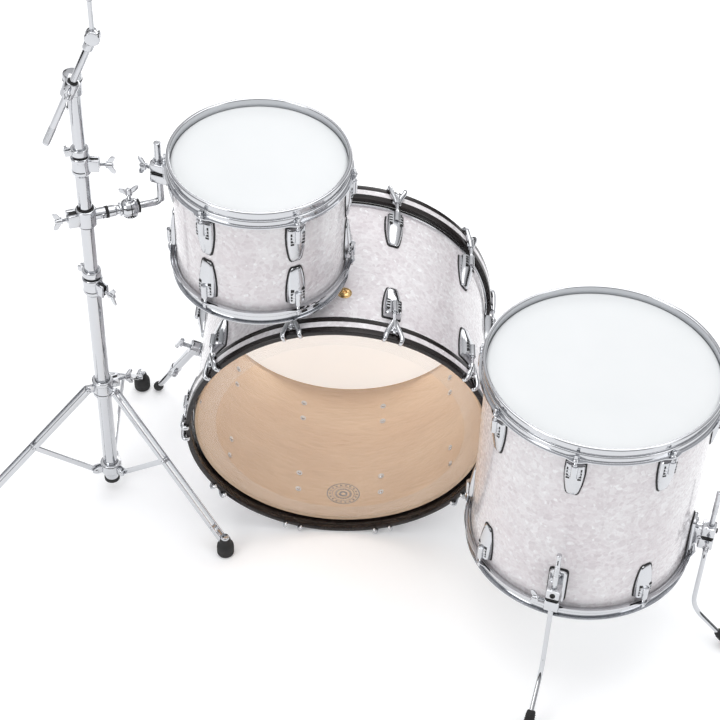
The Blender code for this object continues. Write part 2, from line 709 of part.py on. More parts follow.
def pole_frame(z):
    return at(POLE[0], POLE[1], z)


def stepped_tube_mesh(radius, bottom, top, next_radius):
    """A tube with a clamp head at its top that the next tube slides in; Z is from the floor."""
    inner = next_radius + BORE_CLEARANCE
    shoulder = top - CLAMP_RING_HEIGHT
    outer = radius + TUBE_HEAD_WALL
    profile = [
        (outer, top), (outer, shoulder), (radius, shoulder - TUBE_HEAD_TAPER),
        (radius, bottom), (inner, bottom), (inner, top),
    ]
    tube = turned(profile, TUBE_SIDES)
    lip = box(TUBE_LIP, (radius + TUBE_LIP[0] / 2, 0, top - CLAMP_RING_HEIGHT / 2))
    bore = cylinder(inner, bottom - CUT_MARGIN, top + CUT_MARGIN, TUBE_SIDES)
    return carved(fused(tube, lip), bore)


def pivot_fork(gap, root_radius):
    """Two ears that stand out along X on both sides of a bar, reaching past a pivot."""
    length = TRIPOD_PIVOT_RADIUS - root_radius + FORK_OVERHANG
    middle = root_radius + length / 2
    plates = []
    for side in (1, -1):
        y = side * (gap + FORK_THICKNESS) / 2
        plates.append(box((length, FORK_THICKNESS, FORK_HEIGHT), (middle, y, 0)))
    return grouped(plates)


def bolt_outside(z, degrees, distance):
    """Frame of a wing bolt that points away from the pole."""
    return pole_frame(z) @ turn(degrees) @ at(distance, 0, 0) @ turn(90, "Y")


def stand_base_mesh():
    """Lowest tube with the hub at its foot and the hub's three forks."""
    tube = stepped_tube_mesh(BASE_TUBE_RADIUS, BASE_BOTTOM, BASE_TOP, MIDDLE_TUBE_RADIUS)
    hub_inner = MIDDLE_TUBE_RADIUS + BORE_CLEARANCE + FUSE
    hub_span = (HUB_Z - HUB_HALF_HEIGHT, HUB_Z + HUB_HALF_HEIGHT)
    hub = turned(ring_profile(BASE_TUBE_RADIUS + HUB_WALL, hub_inner, *hub_span), TUBE_SIDES)
    fork = pivot_fork(STRUT_THICKNESS + FORK_SPARE, BASE_TUBE_RADIUS + FORK_ROOT)
    forks = [moved(fork, at(0, 0, HUB_Z) @ turn(azimuth)) for azimuth in TRIPOD_AZIMUTHS]
    return fused(tube, hub, grouped(forks))


def tripod_collar_mesh():
    """Sliding collar with an ear for each leg and a lip for its bolt."""
    ear_size = (COLLAR_EAR[0], LEG_BAR_SPACING - COLLAR_EAR_SPARE, COLLAR_EAR[1])
    ear = box(ear_size, (TRIPOD_PIVOT_RADIUS - COLLAR_EAR_BACK, 0, 0))
    ears = [moved(ear, turn(azimuth)) for azimuth in TRIPOD_AZIMUTHS]
    lip = box(COLLAR_LIP, (BASE_TUBE_RADIUS + FORK_ROOT + COLLAR_LIP[0] / 2, 0, COLLAR_LIP_RISE))
    bore = cylinder(BASE_TUBE_RADIUS + BORE_CLEARANCE, -COLLAR_HEIGHT, COLLAR_HEIGHT, TUBE_SIDES)
    collar = collar_mesh(BASE_TUBE_RADIUS, COLLAR_HEIGHT)
    return carved(fused(collar, grouped(ears), moved(lip, turn(COLLAR_LIP_TURN))), bore)


def build_stand_base():
    place("stand_base_tube", stand_base_mesh(), CHROME, pole_frame(0))
    frame = bolt_outside(BASE_TOP - CLAMP_RING_HEIGHT / 2, BASE_BOLT_TURN, BASE_TUBE_RADIUS + TUBE_LIP[0])
    place("base_wing_bolt", wing_bolt_mesh(), CHROME, frame, "stand_base_tube")
    place("tripod_collar", tripod_collar_mesh(), CHROME, pole_frame(COLLAR_Z), "stand_base_tube")
    lip_end = BASE_TUBE_RADIUS + FORK_ROOT + COLLAR_LIP[0]
    frame = bolt_outside(COLLAR_Z + COLLAR_LIP_RISE, COLLAR_LIP_TURN, lip_end)
    place("tripod_wing_bolt", wing_bolt_mesh(), CHROME, frame, "tripod_collar")
    for index, azimuth in enumerate(TRIPOD_AZIMUTHS, start=1):
        build_tripod_leg(str(index), azimuth)


def tripod_leg_direction():
    """From the hinge of a leg to its foot, in the leg's upright plane."""
    foot = Vector((TRIPOD_FOOT_RADIUS, 0, STAND_FOOT_HEIGHT))
    hinge = Vector((TRIPOD_PIVOT_RADIUS, 0, COLLAR_Z))
    return foot - hinge


def build_tripod_leg(index, azimuth):
    plane = pole_frame(0) @ turn(azimuth)
    reach = tripod_leg_direction()
    direction = reach.normalized()
    leg_frame = plane @ at(TRIPOD_PIVOT_RADIUS, 0, COLLAR_Z)
    bar_frame = frame_at((0, 0, 0), (0, 1, 0), direction)
    thickness, width = LEG_BAR
    length = reach.length + LEG_BAR_OVERHANG
    bars = []
    for side in (1, -1):
        y = side * (LEG_BAR_SPACING / 2 + thickness / 2)
        bars.append(box((length, width, thickness), (length / 2 - LEG_BAR_OVERHANG, 0, y)))
    spacer_size = (LEG_SPACER[0], width * LEG_SPACER[1], LEG_BAR_SPACING + thickness)
    spacer = moved(box(spacer_size, (reach.length - LEG_SPACER_BACK, 0, 0)), bar_frame)
    foot = turned([
        (0, STAND_FOOT_CROWN), (STAND_FOOT_NECK, STAND_FOOT_CROWN), (STAND_FOOT_RADIUS, -STAND_FOOT_SHOULDER),
        (STAND_FOOT_RADIUS, STAND_FOOT_CROWN - STAND_FOOT_HEIGHT), (STAND_FOOT_FACE, -STAND_FOOT_HEIGHT),
        (0, -STAND_FOOT_HEIGHT),
    ], TUBE_SIDES)
    foot = moved(foot, at(*reach))
    leg = fused(spacer, moved(bars[0], bar_frame), moved(bars[1], bar_frame), foot)
    place("stand_leg_" + index, leg, CHROME, leg_frame, "tripod_collar")

    hub = Vector((TRIPOD_PIVOT_RADIUS, 0, HUB_Z))
    joint = Vector((TRIPOD_PIVOT_RADIUS, 0, COLLAR_Z)) + direction * TRIPOD_BRACE
    strut_direction = (joint - hub).normalized()
    strut_length = (joint - hub).length
    strut = box((strut_length + STRUT_OVERHANG, STRUT_WIDTH, STRUT_THICKNESS), (strut_length / 2, 0, 0))
    strut = moved(strut, frame_at((0, 0, 0), (0, 1, 0), strut_direction))
    place("stand_strut_" + index, strut, CHROME, plane @ at(*hub), "stand_base_tube")


def build_stand_tubes():
    middle = stepped_tube_mesh(MIDDLE_TUBE_RADIUS, MIDDLE_BOTTOM, MIDDLE_TOP, UPPER_TUBE_RADIUS)
    middle = moved(middle, at(0, 0, -BASE_TOP))
    place("stand_middle_tube", middle, CHROME, pole_frame(BASE_TOP), "stand_base_tube")
    frame = bolt_outside(MIDDLE_TOP - CLAMP_RING_HEIGHT / 2, 0.0, MIDDLE_TUBE_RADIUS + TUBE_LIP[0])
    place("middle_wing_bolt", wing_bolt_mesh(), CHROME, frame, "stand_middle_tube")
    upper = cylinder(UPPER_TUBE_RADIUS, UPPER_BOTTOM - MIDDLE_TOP, UPPER_TOP - MIDDLE_TOP, TUBE_SIDES)
    place("stand_upper_tube", upper, CHROME, pole_frame(MIDDLE_TOP), "stand_middle_tube")


# ================================================================ tom arm and rack tom
def rack_frame():
    return at(*RACK_TOP) @ turn(RACK_TILT, "X") @ at(0, 0, -RACK.depth / 2)


def arm_points():
    """The upright of the L-rod in the tom's frame, and its corner at the arm's height."""
    frame = rack_frame() @ turn(TOM_BRACKET_ANGLE)
    radius = RACK.radius + TOM_ROD_OFFSET
    top = frame @ Vector((radius, 0, RACK.depth / 2 - TOM_ROD_TOP))
    up = (frame.to_3x3() @ Vector((0, 0, 1))).normalized()
    corner = top - up * ((top.z - ARM_Z) / up.z)
    return top, corner, up


def build_tom_arm():
    top, corner, up = arm_points()
    pole = Vector((POLE[0], POLE[1], ARM_Z))
    outward = (corner - pole).normalized()
    centre = corner - outward * RECEIVER_DISTANCE
    depth, width, height = RECEIVER

    clamp = collar_mesh(MIDDLE_TUBE_RADIUS, CLAMP_HEIGHT)
    arm_start = MIDDLE_TUBE_RADIUS + TURN_CLEARANCE + FUSE
    arm_end = (centre - pole).length - depth / 2 - GAP
    arm = along_x(cylinder(CLAMP_ARM_RADIUS, arm_start, arm_end, TUBE_SIDES))
    jaw = box(CLAMP_JAW, (-MIDDLE_TUBE_RADIUS - CLAMP_JAW[0] / 2, 0, 0))
    bore = cylinder(MIDDLE_TUBE_RADIUS + TURN_CLEARANCE, -CLAMP_HEIGHT, CLAMP_HEIGHT, TUBE_SIDES)
    clamp_frame = frame_at(pole, (0, 0, 1), outward)
    place("stand_clamp", carved(fused(clamp, arm, jaw), bore), CHROME, clamp_frame, "stand_middle_tube")
    bolt = clamp_frame @ at(-MIDDLE_TUBE_RADIUS - CLAMP_JAW[0], 0, 0) @ turn(-90, "Y")
    place("clamp_wing_bolt", wing_bolt_mesh(), CHROME, bolt, "stand_clamp")

    receiver_frame = frame_at(centre, (0, 0, 1), outward)
    body = bevelled_box(RECEIVER, (0, 0, 0), RECEIVER_BEVEL)
    hole = along_x(cylinder(ROD_R + BORE_CLEARANCE, -depth, depth, TUBE_SIDES))
    place("arm_receiver", carved(body, hole), CHROME, receiver_frame, "stand_clamp")
    bolt = receiver_frame @ at(0, 0, height / 2)
    place("receiver_wing_bolt", wing_bolt_mesh(), CHROME, bolt, "arm_receiver")

    tail = centre - outward * ROD_TAIL
    points = [top] + rounded_corner(top, corner, tail, ARM_BEND) + [tail]
    rod = bent_rod([receiver_frame.inverted() @ point for point in points], ROD_R)
    place("tom_arm_rod", rod, CHROME, receiver_frame, "arm_receiver")


def build_rack_tom():
    frame = rack_frame()
    around = frame @ turn(TOM_BRACKET_ANGLE)
    axis_frame = around @ at(RACK.radius + TOM_ROD_OFFSET, 0, RACK.depth / 2 - TOM_BRACKET_DROP)
    mesh = rod_bracket_mesh(TOM_BRACKET, TOM_ROD_OFFSET, ROD_R)
    mesh = moved(mesh, at(-TOM_ROD_OFFSET, 0, 0))
    place("tom_bracket", mesh, CHROME, axis_frame, "tom_arm_rod")
    bolt = axis_frame @ at(TOM_BRACKET[0] + SEAT_CLEARANCE - TOM_ROD_OFFSET, 0, 0) @ turn(90, "Y")
    place("tom_wing_bolt", wing_bolt_mesh(), CHROME, bolt, "tom_bracket")
    drum_pieces(RACK, frame, steel_hoop_mesh(RACK), TOM_FLESH_DROP, RACK_VENT,
                carrier="tom_bracket")


# ================================================================ boom
def build_boom():
    outer = UPPER_TUBE_RADIUS + TILTER_WALL
    bore = UPPER_TUBE_RADIUS + TURN_CLEARANCE
    roof = UPPER_TOP - TILTER_Z + GAP
    head = turned([
        (0, TILTER_CROWN), (outer, TILTER_CROWN), (outer, -TILTER_SKIRT),
        (bore, -TILTER_SKIRT), (bore, roof), (0, roof),
    ], TUBE_SIDES)
    stub_end = BOOM_OFFSET - HOLDER[1] / 2 - GAP
    stub = moved(cylinder(TILTER_STUB_RADIUS, TILTER_STUB_START, stub_end, TUBE_SIDES), turn(90, "X"))
    place("boom_tilter", fused(head, stub), CHROME, pole_frame(TILTER_Z), "stand_upper_tube")

    pivot = Vector((POLE[0], POLE[1] - BOOM_OFFSET, TILTER_Z))
    along = Vector((math.sin(math.radians(BOOM_LEAN)), 0, math.cos(math.radians(BOOM_LEAN))))
    holder_frame = frame_at(pivot, along, (1, 0, 0))
    body = bevelled_box(HOLDER, (0, 0, 0), HOLDER_BEVEL)
    hole = cylinder(BOOM_RADIUS + BORE_CLEARANCE, -HOLDER[2], HOLDER[2], TUBE_SIDES)
    place("boom_holder", carved(body, hole), CHROME, holder_frame, "boom_tilter")
    bolt = holder_frame @ at(0, -HOLDER[1] / 2, 0) @ turn(90, "X")
    place("boom_wing_bolt", wing_bolt_mesh(), CHROME, bolt, "boom_holder")

    rod = cylinder(BOOM_RADIUS, -BOOM_BELOW, BOOM_ABOVE, TUBE_SIDES)
    place("boom_rod", rod, CHROME, holder_frame, "boom_holder")

    hinge = pivot + along * (BOOM_ABOVE + KNUCKLE_RISE)
    hinge_frame = frame_at(hinge, (0, -1, 0), (1, 0, 0))
    knuckle = cylinder(KNUCKLE_RADIUS, -KNUCKLE_HALF_WIDTH, KNUCKLE_HALF_WIDTH, TUBE_SIDES)
    post = cylinder(CYMBAL_ROD_RADIUS, CYMBAL_ROD_START, CYMBAL_ROD_LENGTH, SMALL_SIDES)
    washer = cylinder(WASHER_RADIUS, *WASHER_SPAN, TUBE_SIDES)
    upright = moved(fused(post, washer), turn(-90, "X"))
    place("cymbal_tilter", fused(knuckle, upright), CHROME, hinge_frame, "boom_rod")


# ================================================================ kit
def centre_on_floor():
    """Moves the kit so that the middle of its box stands on the origin."""
    corners = [world_of[obj.name] @ vert.co for obj in parts.objects for vert in obj.data.vertices]
    low = Vector([min(c[i] for c in corners) for i in range(3)])
    high = Vector([max(c[i] for c in corners) for i in range(3)])
    shift = at(-(low.x + high.x) / 2, -(low.y + high.y) / 2, -low.z)
    for obj in parts.objects:
        if obj.parent is None:
            obj.matrix_basis = shift @ obj.matrix_basis


clear_scene()
build_bass_drum()
build_floor_tom()
build_stand_base()
build_stand_tubes()
build_tom_arm()
build_rack_tom()
build_boom()
centre_on_floor()
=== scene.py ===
"""Looks of the acoustic drum kit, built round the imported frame.

Metres, +Z up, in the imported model's frame. Each drum has a frame of its own whose +Z is the
batter end; hardware frames come from the joints. Outlines are given in millimetres through mm().
"""
import json
import math
from collections import namedtuple

import bmesh
import bpy
from mathutils import Matrix, Vector


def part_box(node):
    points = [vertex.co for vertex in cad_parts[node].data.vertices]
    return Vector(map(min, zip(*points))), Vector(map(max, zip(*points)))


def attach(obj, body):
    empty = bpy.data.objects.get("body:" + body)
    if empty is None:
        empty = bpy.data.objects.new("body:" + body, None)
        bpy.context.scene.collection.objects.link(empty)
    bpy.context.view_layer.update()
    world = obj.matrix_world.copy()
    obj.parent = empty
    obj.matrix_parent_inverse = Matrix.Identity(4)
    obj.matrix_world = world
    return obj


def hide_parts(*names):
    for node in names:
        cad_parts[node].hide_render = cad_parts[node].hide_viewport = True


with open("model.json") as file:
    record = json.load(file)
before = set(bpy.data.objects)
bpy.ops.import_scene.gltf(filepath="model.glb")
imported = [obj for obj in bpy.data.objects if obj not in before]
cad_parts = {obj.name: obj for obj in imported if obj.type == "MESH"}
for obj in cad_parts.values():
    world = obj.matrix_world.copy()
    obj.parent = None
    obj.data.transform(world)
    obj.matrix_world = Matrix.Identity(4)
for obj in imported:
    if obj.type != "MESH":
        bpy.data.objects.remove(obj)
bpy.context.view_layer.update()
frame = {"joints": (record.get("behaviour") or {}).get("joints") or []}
JOINTS = {joint["name"]: joint for joint in frame["joints"]}
TAU = 2 * math.pi
UP = Vector((0, 0, 1))
SHARP = math.radians(32)


# ================================================================ frames and meshes
def mm(*points):
    return [Vector(point) * 0.001 for point in points]


def at(x, y, z):
    return Matrix.Translation((x, y, z))


def turn(degrees, axis="Z"):
    return Matrix.Rotation(math.radians(degrees), 4, axis)


def frame_at(origin, z_axis, x_hint):
    """A right-handed frame with its Z along z_axis and its X as near x_hint as it can be."""
    z = Vector(z_axis).normalized()
    x = (Vector(x_hint) - z * z.dot(Vector(x_hint))).normalized()
    result = Matrix((x, z.cross(x), z)).transposed().to_4x4()
    result.translation = Vector(origin)
    return result


def place_of(joint):
    return Vector(JOINTS[joint]["pos_m"])


def axis_of(joint):
    return Vector(JOINTS[joint]["axis"])


def centre_of(node):
    low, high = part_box(node)
    return (low + high) / 2


def finished(bm):
    bmesh.ops.remove_doubles(bm, verts=bm.verts, dist=1e-7)
    bmesh.ops.dissolve_degenerate(bm, edges=bm.edges, dist=1e-7)
    bmesh.ops.recalc_face_normals(bm, faces=bm.faces)
    mesh = bpy.data.meshes.new("shape")
    bm.to_mesh(mesh)
    bm.free()
    return mesh


def moved(mesh, *matrices):
    mesh = mesh.copy()
    for matrix in matrices:
        mesh.transform(matrix)
        if matrix.determinant() < 0:
            mesh.flip_normals()
    return mesh


def rounded(points, radius, closed=True, steps=3):
    """A line of points whose corners are replaced by small arcs."""
    result = []
    last = len(points) - 1
    for i, corner in enumerate(points):
        before = points[i - 1] - corner
        after = points[(i + 1) % len(points)] - corner
        cut = min(radius, before.length * 0.46, after.length * 0.46)
        if cut < 1e-6 or (not closed and i in (0, last)):
            result.append(corner)
            continue
        start = corner + before.normalized() * cut
        end = corner + after.normalized() * cut
        for step in range(steps + 1):
            t = step / steps
            result.append(start * (1 - t) ** 2 + corner * 2 * t * (1 - t) + end * t * t)
    return result


def bridged(bm, rings, around=True, along=False, caps=True):
    """Faces between rings of vertices; along joins the last ring to the first."""
    count = len(rings[0])
    for a in range(len(rings) if along else len(rings) - 1):
        ring, after = rings[a], rings[(a + 1) % len(rings)]
        for i in range(count if around else count - 1):
            j = (i + 1) % count
            bm.faces.new((ring[i], ring[j], after[j], after[i]))
    if caps and not along:
        bm.faces.new(rings[0])
        bm.faces.new(rings[-1])


def spun(profile, segments=32, corner=0.0, bulge=None):
    """(radius, height) points turned round Z; bulge(radius, height, angle) adds to a radius."""
    on_axis = profile[0].x == 0
    if corner:
        profile = rounded(profile, corner, closed=not on_axis)
    bm = bmesh.new()
    rings = []
    for step in range(segments):
        angle = TAU * step / segments
        ring = []
        for point in profile:
            radius = point.x + (bulge(point.x, point.y, angle) if bulge else 0)
            ring.append(bm.verts.new((radius * math.cos(angle), radius * math.sin(angle), point.y)))
        rings.append(ring)
    bridged(bm, rings, around=not on_axis, along=True)
    return finished(bm)


def swept(points, radii, sides=16):
    """A round bar through points, with one radius or one for each point."""
    bm = bmesh.new()
    rings = []
    side = None
    for i, point in enumerate(points):
        ahead = (points[min(i + 1, len(points) - 1)] - points[max(i - 1, 0)]).normalized()
        side = ahead.orthogonal() if side is None else side
        side = (side - ahead * side.dot(ahead)).normalized()
        other = ahead.cross(side)
        radius = radii[i] if isinstance(radii, list) else radii
        angles = [TAU * s / sides for s in range(sides)]
        rings.append([bm.verts.new(point + (side * math.cos(a) + other * math.sin(a)) * radius)
                      for a in angles])
    bridged(bm, rings)
    return finished(bm)


def lofted(sections):
    bm = bmesh.new()
    bridged(bm, [[bm.verts.new(point) for point in section] for section in sections])
    return finished(bm)


def bevelled(bm, width, segments=2):
    sharp = [e for e in bm.edges if len(e.link_faces) == 2 and e.calc_face_angle() > 0.6]
    bmesh.ops.bevel(bm, geom=sharp, offset=width, segments=segments, profile=0.5, affect="EDGES")


def block(size, centre=(0, 0, 0), edge=0.001):
    bm = bmesh.new()
    bmesh.ops.create_cube(bm, size=1.0, matrix=at(*centre) @ Matrix.Diagonal((*size, 1.0)))
    bevelled(bm, edge)
    return finished(bm)


def slab(outline, low, high, corner=0.0, edge=0.0006):
    """A flat outline in X and Y, from low to high on Z, with eased edges."""
    if corner:
        outline = rounded(outline, corner)
    bm = bmesh.new()
    base = bm.faces.new([bm.verts.new((point.x, point.y, low)) for point in outline])
    raised = bmesh.ops.extrude_face_region(bm, geom=[base])
    tops = [item for item in raised["geom"] if isinstance(item, bmesh.types.BMVert)]
    bmesh.ops.translate(bm, verts=tops, vec=(0, 0, high - low))
    if edge:
        bevelled(bm, edge)
    return finished(bm)


def bar(radius, low, high, segments=24, edge=0.0006):
    """A round bar on Z with eased ends."""
    return spun([Vector(p) for p in ((0, high), (radius, high), (radius, low), (0, low))], segments, edge)


def pipe(outer, inner, low, high, segments=32, edge=0.0005):
    return spun([Vector(p) for p in ((outer, high), (outer, low), (inner, low), (inner, high))], segments,
                edge)


def along(mesh, axis):
    """Lays a mesh that stands on Z along X, -X, Y or -Y."""
    quarter = {"X": (90, "Y"), "-X": (-90, "Y"), "Y": (-90, "X"), "-Y": (90, "X")}[axis]
    return moved(mesh, turn(*quarter))


def thread(radius, low, high, pitch=0.0012, segments=20):
    """A threaded shank, its grooves as rings."""
    profile = [Vector((0, high)), Vector((radius - pitch / 2, high))]
    for i in range(int((high - low) / pitch)):
        profile.append(Vector((radius, high - (i + 0.5) * pitch)))
        profile.append(Vector((radius - pitch / 2.5, high - (i + 1) * pitch)))
    profile += [Vector((radius - pitch / 2, low)), Vector((0, low))]
    return spun(profile, segments)


def merged(parts):
    """One mesh from (mesh, material) pairs."""
    bm = bmesh.new()
    materials = []
    for mesh, finish in parts:
        start = len(bm.faces)
        bm.from_mesh(mesh)
        if finish not in materials:
            materials.append(finish)
        bm.faces.ensure_lookup_table()
        for face in bm.faces[start:]:
            face.material_index = materials.index(finish)
    mesh = bpy.data.meshes.new("merged")
    bm.to_mesh(mesh)
    bm.free()
    for finish in materials:
        mesh.materials.append(finish)
    mesh.shade_smooth()
    mesh.set_sharp_from_angle(angle=SHARP)
    return mesh


def put(name, mesh, body, where, replaces=()):
    """Adds one piece to the model: where is its frame, body carries it."""
    if isinstance(mesh, list):
        mesh = merged(mesh)
    obj = bpy.data.objects.new(name, mesh)
    bpy.context.scene.collection.objects.link(obj)
    obj.matrix_world = where
    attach(obj, body)
    if replaces:
        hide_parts(*replaces)
    return obj


# ================================================================ materials
class Finish:
    """A Principled material with short helpers for its procedural nodes."""

    def __init__(self, name, colour, roughness, metallic=0.0, **inputs):
        self.material = bpy.data.materials.new(name)
        self.material.use_nodes = True
        self.tree = self.material.node_tree
        self.shader = self.tree.nodes["Principled BSDF"]
        self.shader.inputs["Base Color"].default_value = (*colour, 1)
        self.shader.inputs["Roughness"].default_value = roughness
        self.shader.inputs["Metallic"].default_value = metallic
        for key, value in inputs.items():
            self.shader.inputs[key.replace("_", " ")].default_value = value
        self.place = self.node("ShaderNodeTexCoord").outputs["Object"]

    def node(self, kind, **settings):
        made = self.tree.nodes.new(kind)
        for key, value in settings.items():
            setattr(made, key, value)
        return made

    def link(self, source, target):
        self.tree.links.new(source, target)

    def stretched(self, scale):
        mapping = self.node("ShaderNodeMapping")
        mapping.inputs["Scale"].default_value = scale
        self.link(self.place, mapping.inputs["Vector"])
        return mapping.outputs["Vector"]

    def noise(self, scale, detail=3.0, rough=0.5, place=None, distortion=0.0):
        made = self.node("ShaderNodeTexNoise")
        made.inputs["Scale"].default_value = scale
        made.inputs["Detail"].default_value = detail
        made.inputs["Roughness"].default_value = rough
        made.inputs["Distortion"].default_value = distortion
        self.link(place or self.place, made.inputs["Vector"])
        return made

    def cells(self, scale, place=None, feature="F1"):
        made = self.node("ShaderNodeTexVoronoi", feature=feature)
        made.inputs["Scale"].default_value = scale
        self.link(place or self.place, made.inputs["Vector"])
        return made

    def ramp(self, value, *stops):
        made = self.node("ShaderNodeValToRGB")
        elements = made.color_ramp.elements
        while len(elements) < len(stops):
            elements.new(0.5)
        for element, (position, colour) in zip(elements, stops):
            element.position = position
            element.color = (*colour, 1)
        self.link(value, made.inputs["Fac"])
        return made.outputs["Color"]

    def spread(self, value, low, high, to_low, to_high):
        made = self.node("ShaderNodeMapRange")
        for key, number in zip(("From Min", "From Max", "To Min", "To Max"), (low, high, to_low, to_high)):
            made.inputs[key].default_value = number
        self.link(value, made.inputs["Value"])
        return made.outputs["Result"]

    def mixed(self, factor, first, second, blend="MIX"):
        made = self.node("ShaderNodeMix", data_type="RGBA", blend_type=blend)
        if isinstance(factor, float):
            made.inputs["Factor"].default_value = factor
        else:
            self.link(factor, made.inputs["Factor"])
        for source, socket in ((first, made.inputs["A"]), (second, made.inputs["B"])):
            socket = [s for s in made.inputs if s.name == socket.name and s.type == "RGBA"][0]
            if isinstance(source, tuple):
                socket.default_value = (*source, 1)
            else:
                self.link(source, socket)
        return [s for s in made.outputs if s.type == "RGBA"][0]

    def colour(self, source):
        self.link(source, self.shader.inputs["Base Color"])

    def rough(self, source):
        self.link(source, self.shader.inputs["Roughness"])

    def bump(self, height, distance, strength=1.0):
        made = self.node("ShaderNodeBump")
        made.inputs["Distance"].default_value = distance
        made.inputs["Strength"].default_value = strength
        self.link(height, made.inputs["Height"])
        self.link(made.outputs["Normal"], self.shader.inputs["Normal"])


def pearl_finish():
    """White marine pearl: shards of white, blush and lavender grey under clear gloss, with painted glints:
    flecks of near white painted into the colour as highlights.
    """
    made = Finish("pearl", (0.8, 0.78, 0.8), 0.22, Coat_Weight=0.8, Coat_Roughness=0.03)
    swirl = made.noise(14, 3, 0.6)
    shifted = made.node("ShaderNodeVectorMath", operation="MULTIPLY_ADD")
    made.link(swirl.outputs["Color"], shifted.inputs[0])
    shifted.inputs[1].default_value = (0.035, 0.035, 0.035)
    made.link(made.place, shifted.inputs[2])
    shards = made.cells(130, shifted.outputs["Vector"])
    # white flecks from these cells are painted glints: highlights painted into the base colour
    glint_cells = made.cells(190, shifted.outputs["Vector"])
    tone = made.ramp(
        shards.outputs["Color"], (0.10, (0.69, 0.655, 0.67)), (0.38, (0.75, 0.72, 0.735)),
        (0.64, (0.79, 0.77, 0.78)), (0.90, (0.86, 0.85, 0.86)),
    )
    painted_glints = made.ramp(glint_cells.outputs["Color"], (0.84, (0.0, 0.0, 0.0)), (0.92, (0.85, 0.85, 0.85)))
    clouds = made.ramp(made.noise(9, 2, 0.5).outputs["Fac"], (0.35, (0.945, 0.92, 0.93)),
                       (0.65, (1.0, 1.0, 1.0)))
    made.colour(made.mixed(painted_glints, made.mixed(1.0, tone, clouds, "MULTIPLY"), (0.93, 0.93, 0.94)))
    made.rough(made.spread(shards.outputs["Distance"], 0, 0.8, 0.14, 0.34))
    return made.material


def chrome_finish():
    made = Finish("chrome", (0.60, 0.61, 0.63), 0.07, 1.0)
    haze = made.noise(60, 3, 0.6)
    made.rough(made.spread(haze.outputs["Fac"], 0.3, 0.75, 0.04, 0.13))
    made.bump(made.noise(320, 1, 0.4).outputs["Fac"], 0.00003, 0.25)
    return made.material


def cast_finish():
    """Chrome over a casting: softer, with a slight orange peel."""
    made = Finish("cast_chrome", (0.60, 0.61, 0.63), 0.12, 1.0)
    made.rough(made.spread(made.noise(90, 3, 0.6).outputs["Fac"], 0.3, 0.75, 0.08, 0.20))
    made.bump(made.noise(260, 2, 0.5).outputs["Fac"], 0.00008, 0.35)
    return made.material


def coated_finish():
    made = Finish("coated_film", (0.76, 0.775, 0.78), 0.5, Coat_Weight=0.1, Coat_Roughness=0.35)
    made.colour(made.ramp(made.noise(5, 3, 0.6).outputs["Fac"], (0.3, (0.69, 0.71, 0.715)),
                          (0.7, (0.72, 0.735, 0.74))))
    made.rough(made.spread(made.noise(700, 2, 0.6).outputs["Fac"], 0.3, 0.7, 0.42, 0.62))
    made.bump(made.noise(1500, 2, 0.7).outputs["Fac"], 0.00006, 0.4)
    return made.material


def front_finish():
    """White film with a painted glow: its emission stands in for daylight shining through it, as on the far
    head of a bass drum.
    """
    # the emission is painted light, a glow the film gives off though it is no lamp
    made = Finish("front_film", (0.86, 0.86, 0.86), 0.45, Emission_Color=(0.98, 1.0, 1.0, 1),
                  Emission_Strength=0.5)
    made.colour(made.ramp(made.noise(6, 3, 0.6).outputs["Fac"], (0.3, (0.84, 0.845, 0.85)),
                          (0.7, (0.88, 0.885, 0.89))))
    made.rough(made.spread(made.noise(600, 2, 0.6).outputs["Fac"], 0.3, 0.7, 0.38, 0.55))
    made.bump(made.noise(1400, 2, 0.7).outputs["Fac"], 0.00005, 0.3)
    return made.material


def clear_finish(name, alpha):
    made = Finish(name, (0.95, 0.93, 0.91), 0.08, Alpha=alpha, Coat_Weight=0.5)
    made.rough(made.spread(made.noise(35, 3, 0.6).outputs["Fac"], 0.3, 0.7, 0.05, 0.12))
    return made.material


def maple_finish():
    """Clear-coated maple ply, its figure running round the shell."""
    made = Finish("maple", (0.66, 0.46, 0.29), 0.35, Coat_Weight=0.25, Coat_Roughness=0.2)
    fine = made.noise(30, 6, 0.65, made.stretched((1.0, 1.0, 9.0)), 0.6)
    broad = made.noise(6, 2, 0.5, made.stretched((1.0, 1.0, 2.5)))
    grain = made.ramp(
        fine.outputs["Fac"], (0.28, (0.52, 0.365, 0.235)), (0.5, (0.615, 0.45, 0.30)),
        (0.75, (0.685, 0.515, 0.355)),
    )
    shade = made.ramp(broad.outputs["Fac"], (0.3, (0.93, 0.89, 0.86)), (0.7, (1.0, 1.0, 1.0)))
    made.colour(made.mixed(1.0, grain, shade, "MULTIPLY"))
    made.rough(made.spread(fine.outputs["Fac"], 0.2, 0.8, 0.30, 0.45))
    made.bump(fine.outputs["Fac"], 0.0001, 0.3)
    return made.material


def lacquer_finish():
    """Black stain and gloss over maple, brown where the grain shows."""
    made = Finish("black_lacquer", (0.006, 0.005, 0.005), 0.22, Coat_Weight=0.12, Coat_Roughness=0.1,
                  Specular_IOR_Level=0.35)
    grain = made.noise(22, 6, 0.7, made.stretched((1.0, 1.0, 7.0)), 0.5)
    made.colour(made.ramp(grain.outputs["Fac"], (0.35, (0.005, 0.004, 0.004)), (0.75, (0.017, 0.010, 0.009))))
    made.rough(made.spread(grain.outputs["Fac"], 0.3, 0.7, 0.18, 0.34))
    made.bump(grain.outputs["Fac"], 0.00008, 0.3)
    return made.material


def rubber_finish(name="rubber", shade=0.018):
    made = Finish(name, (shade, shade, shade), 0.7)
    dust = made.noise(45, 4, 0.65)
    made.colour(made.ramp(dust.outputs["Fac"], (0.4, (shade * 0.7,) * 3), (0.8, (shade * 1.9,) * 3)))
    made.rough(made.spread(dust.outputs["Fac"], 0.3, 0.7, 0.58, 0.85))
    made.bump(made.noise(900, 3, 0.6).outputs["Fac"], 0.0001, 0.4)
    return made.material


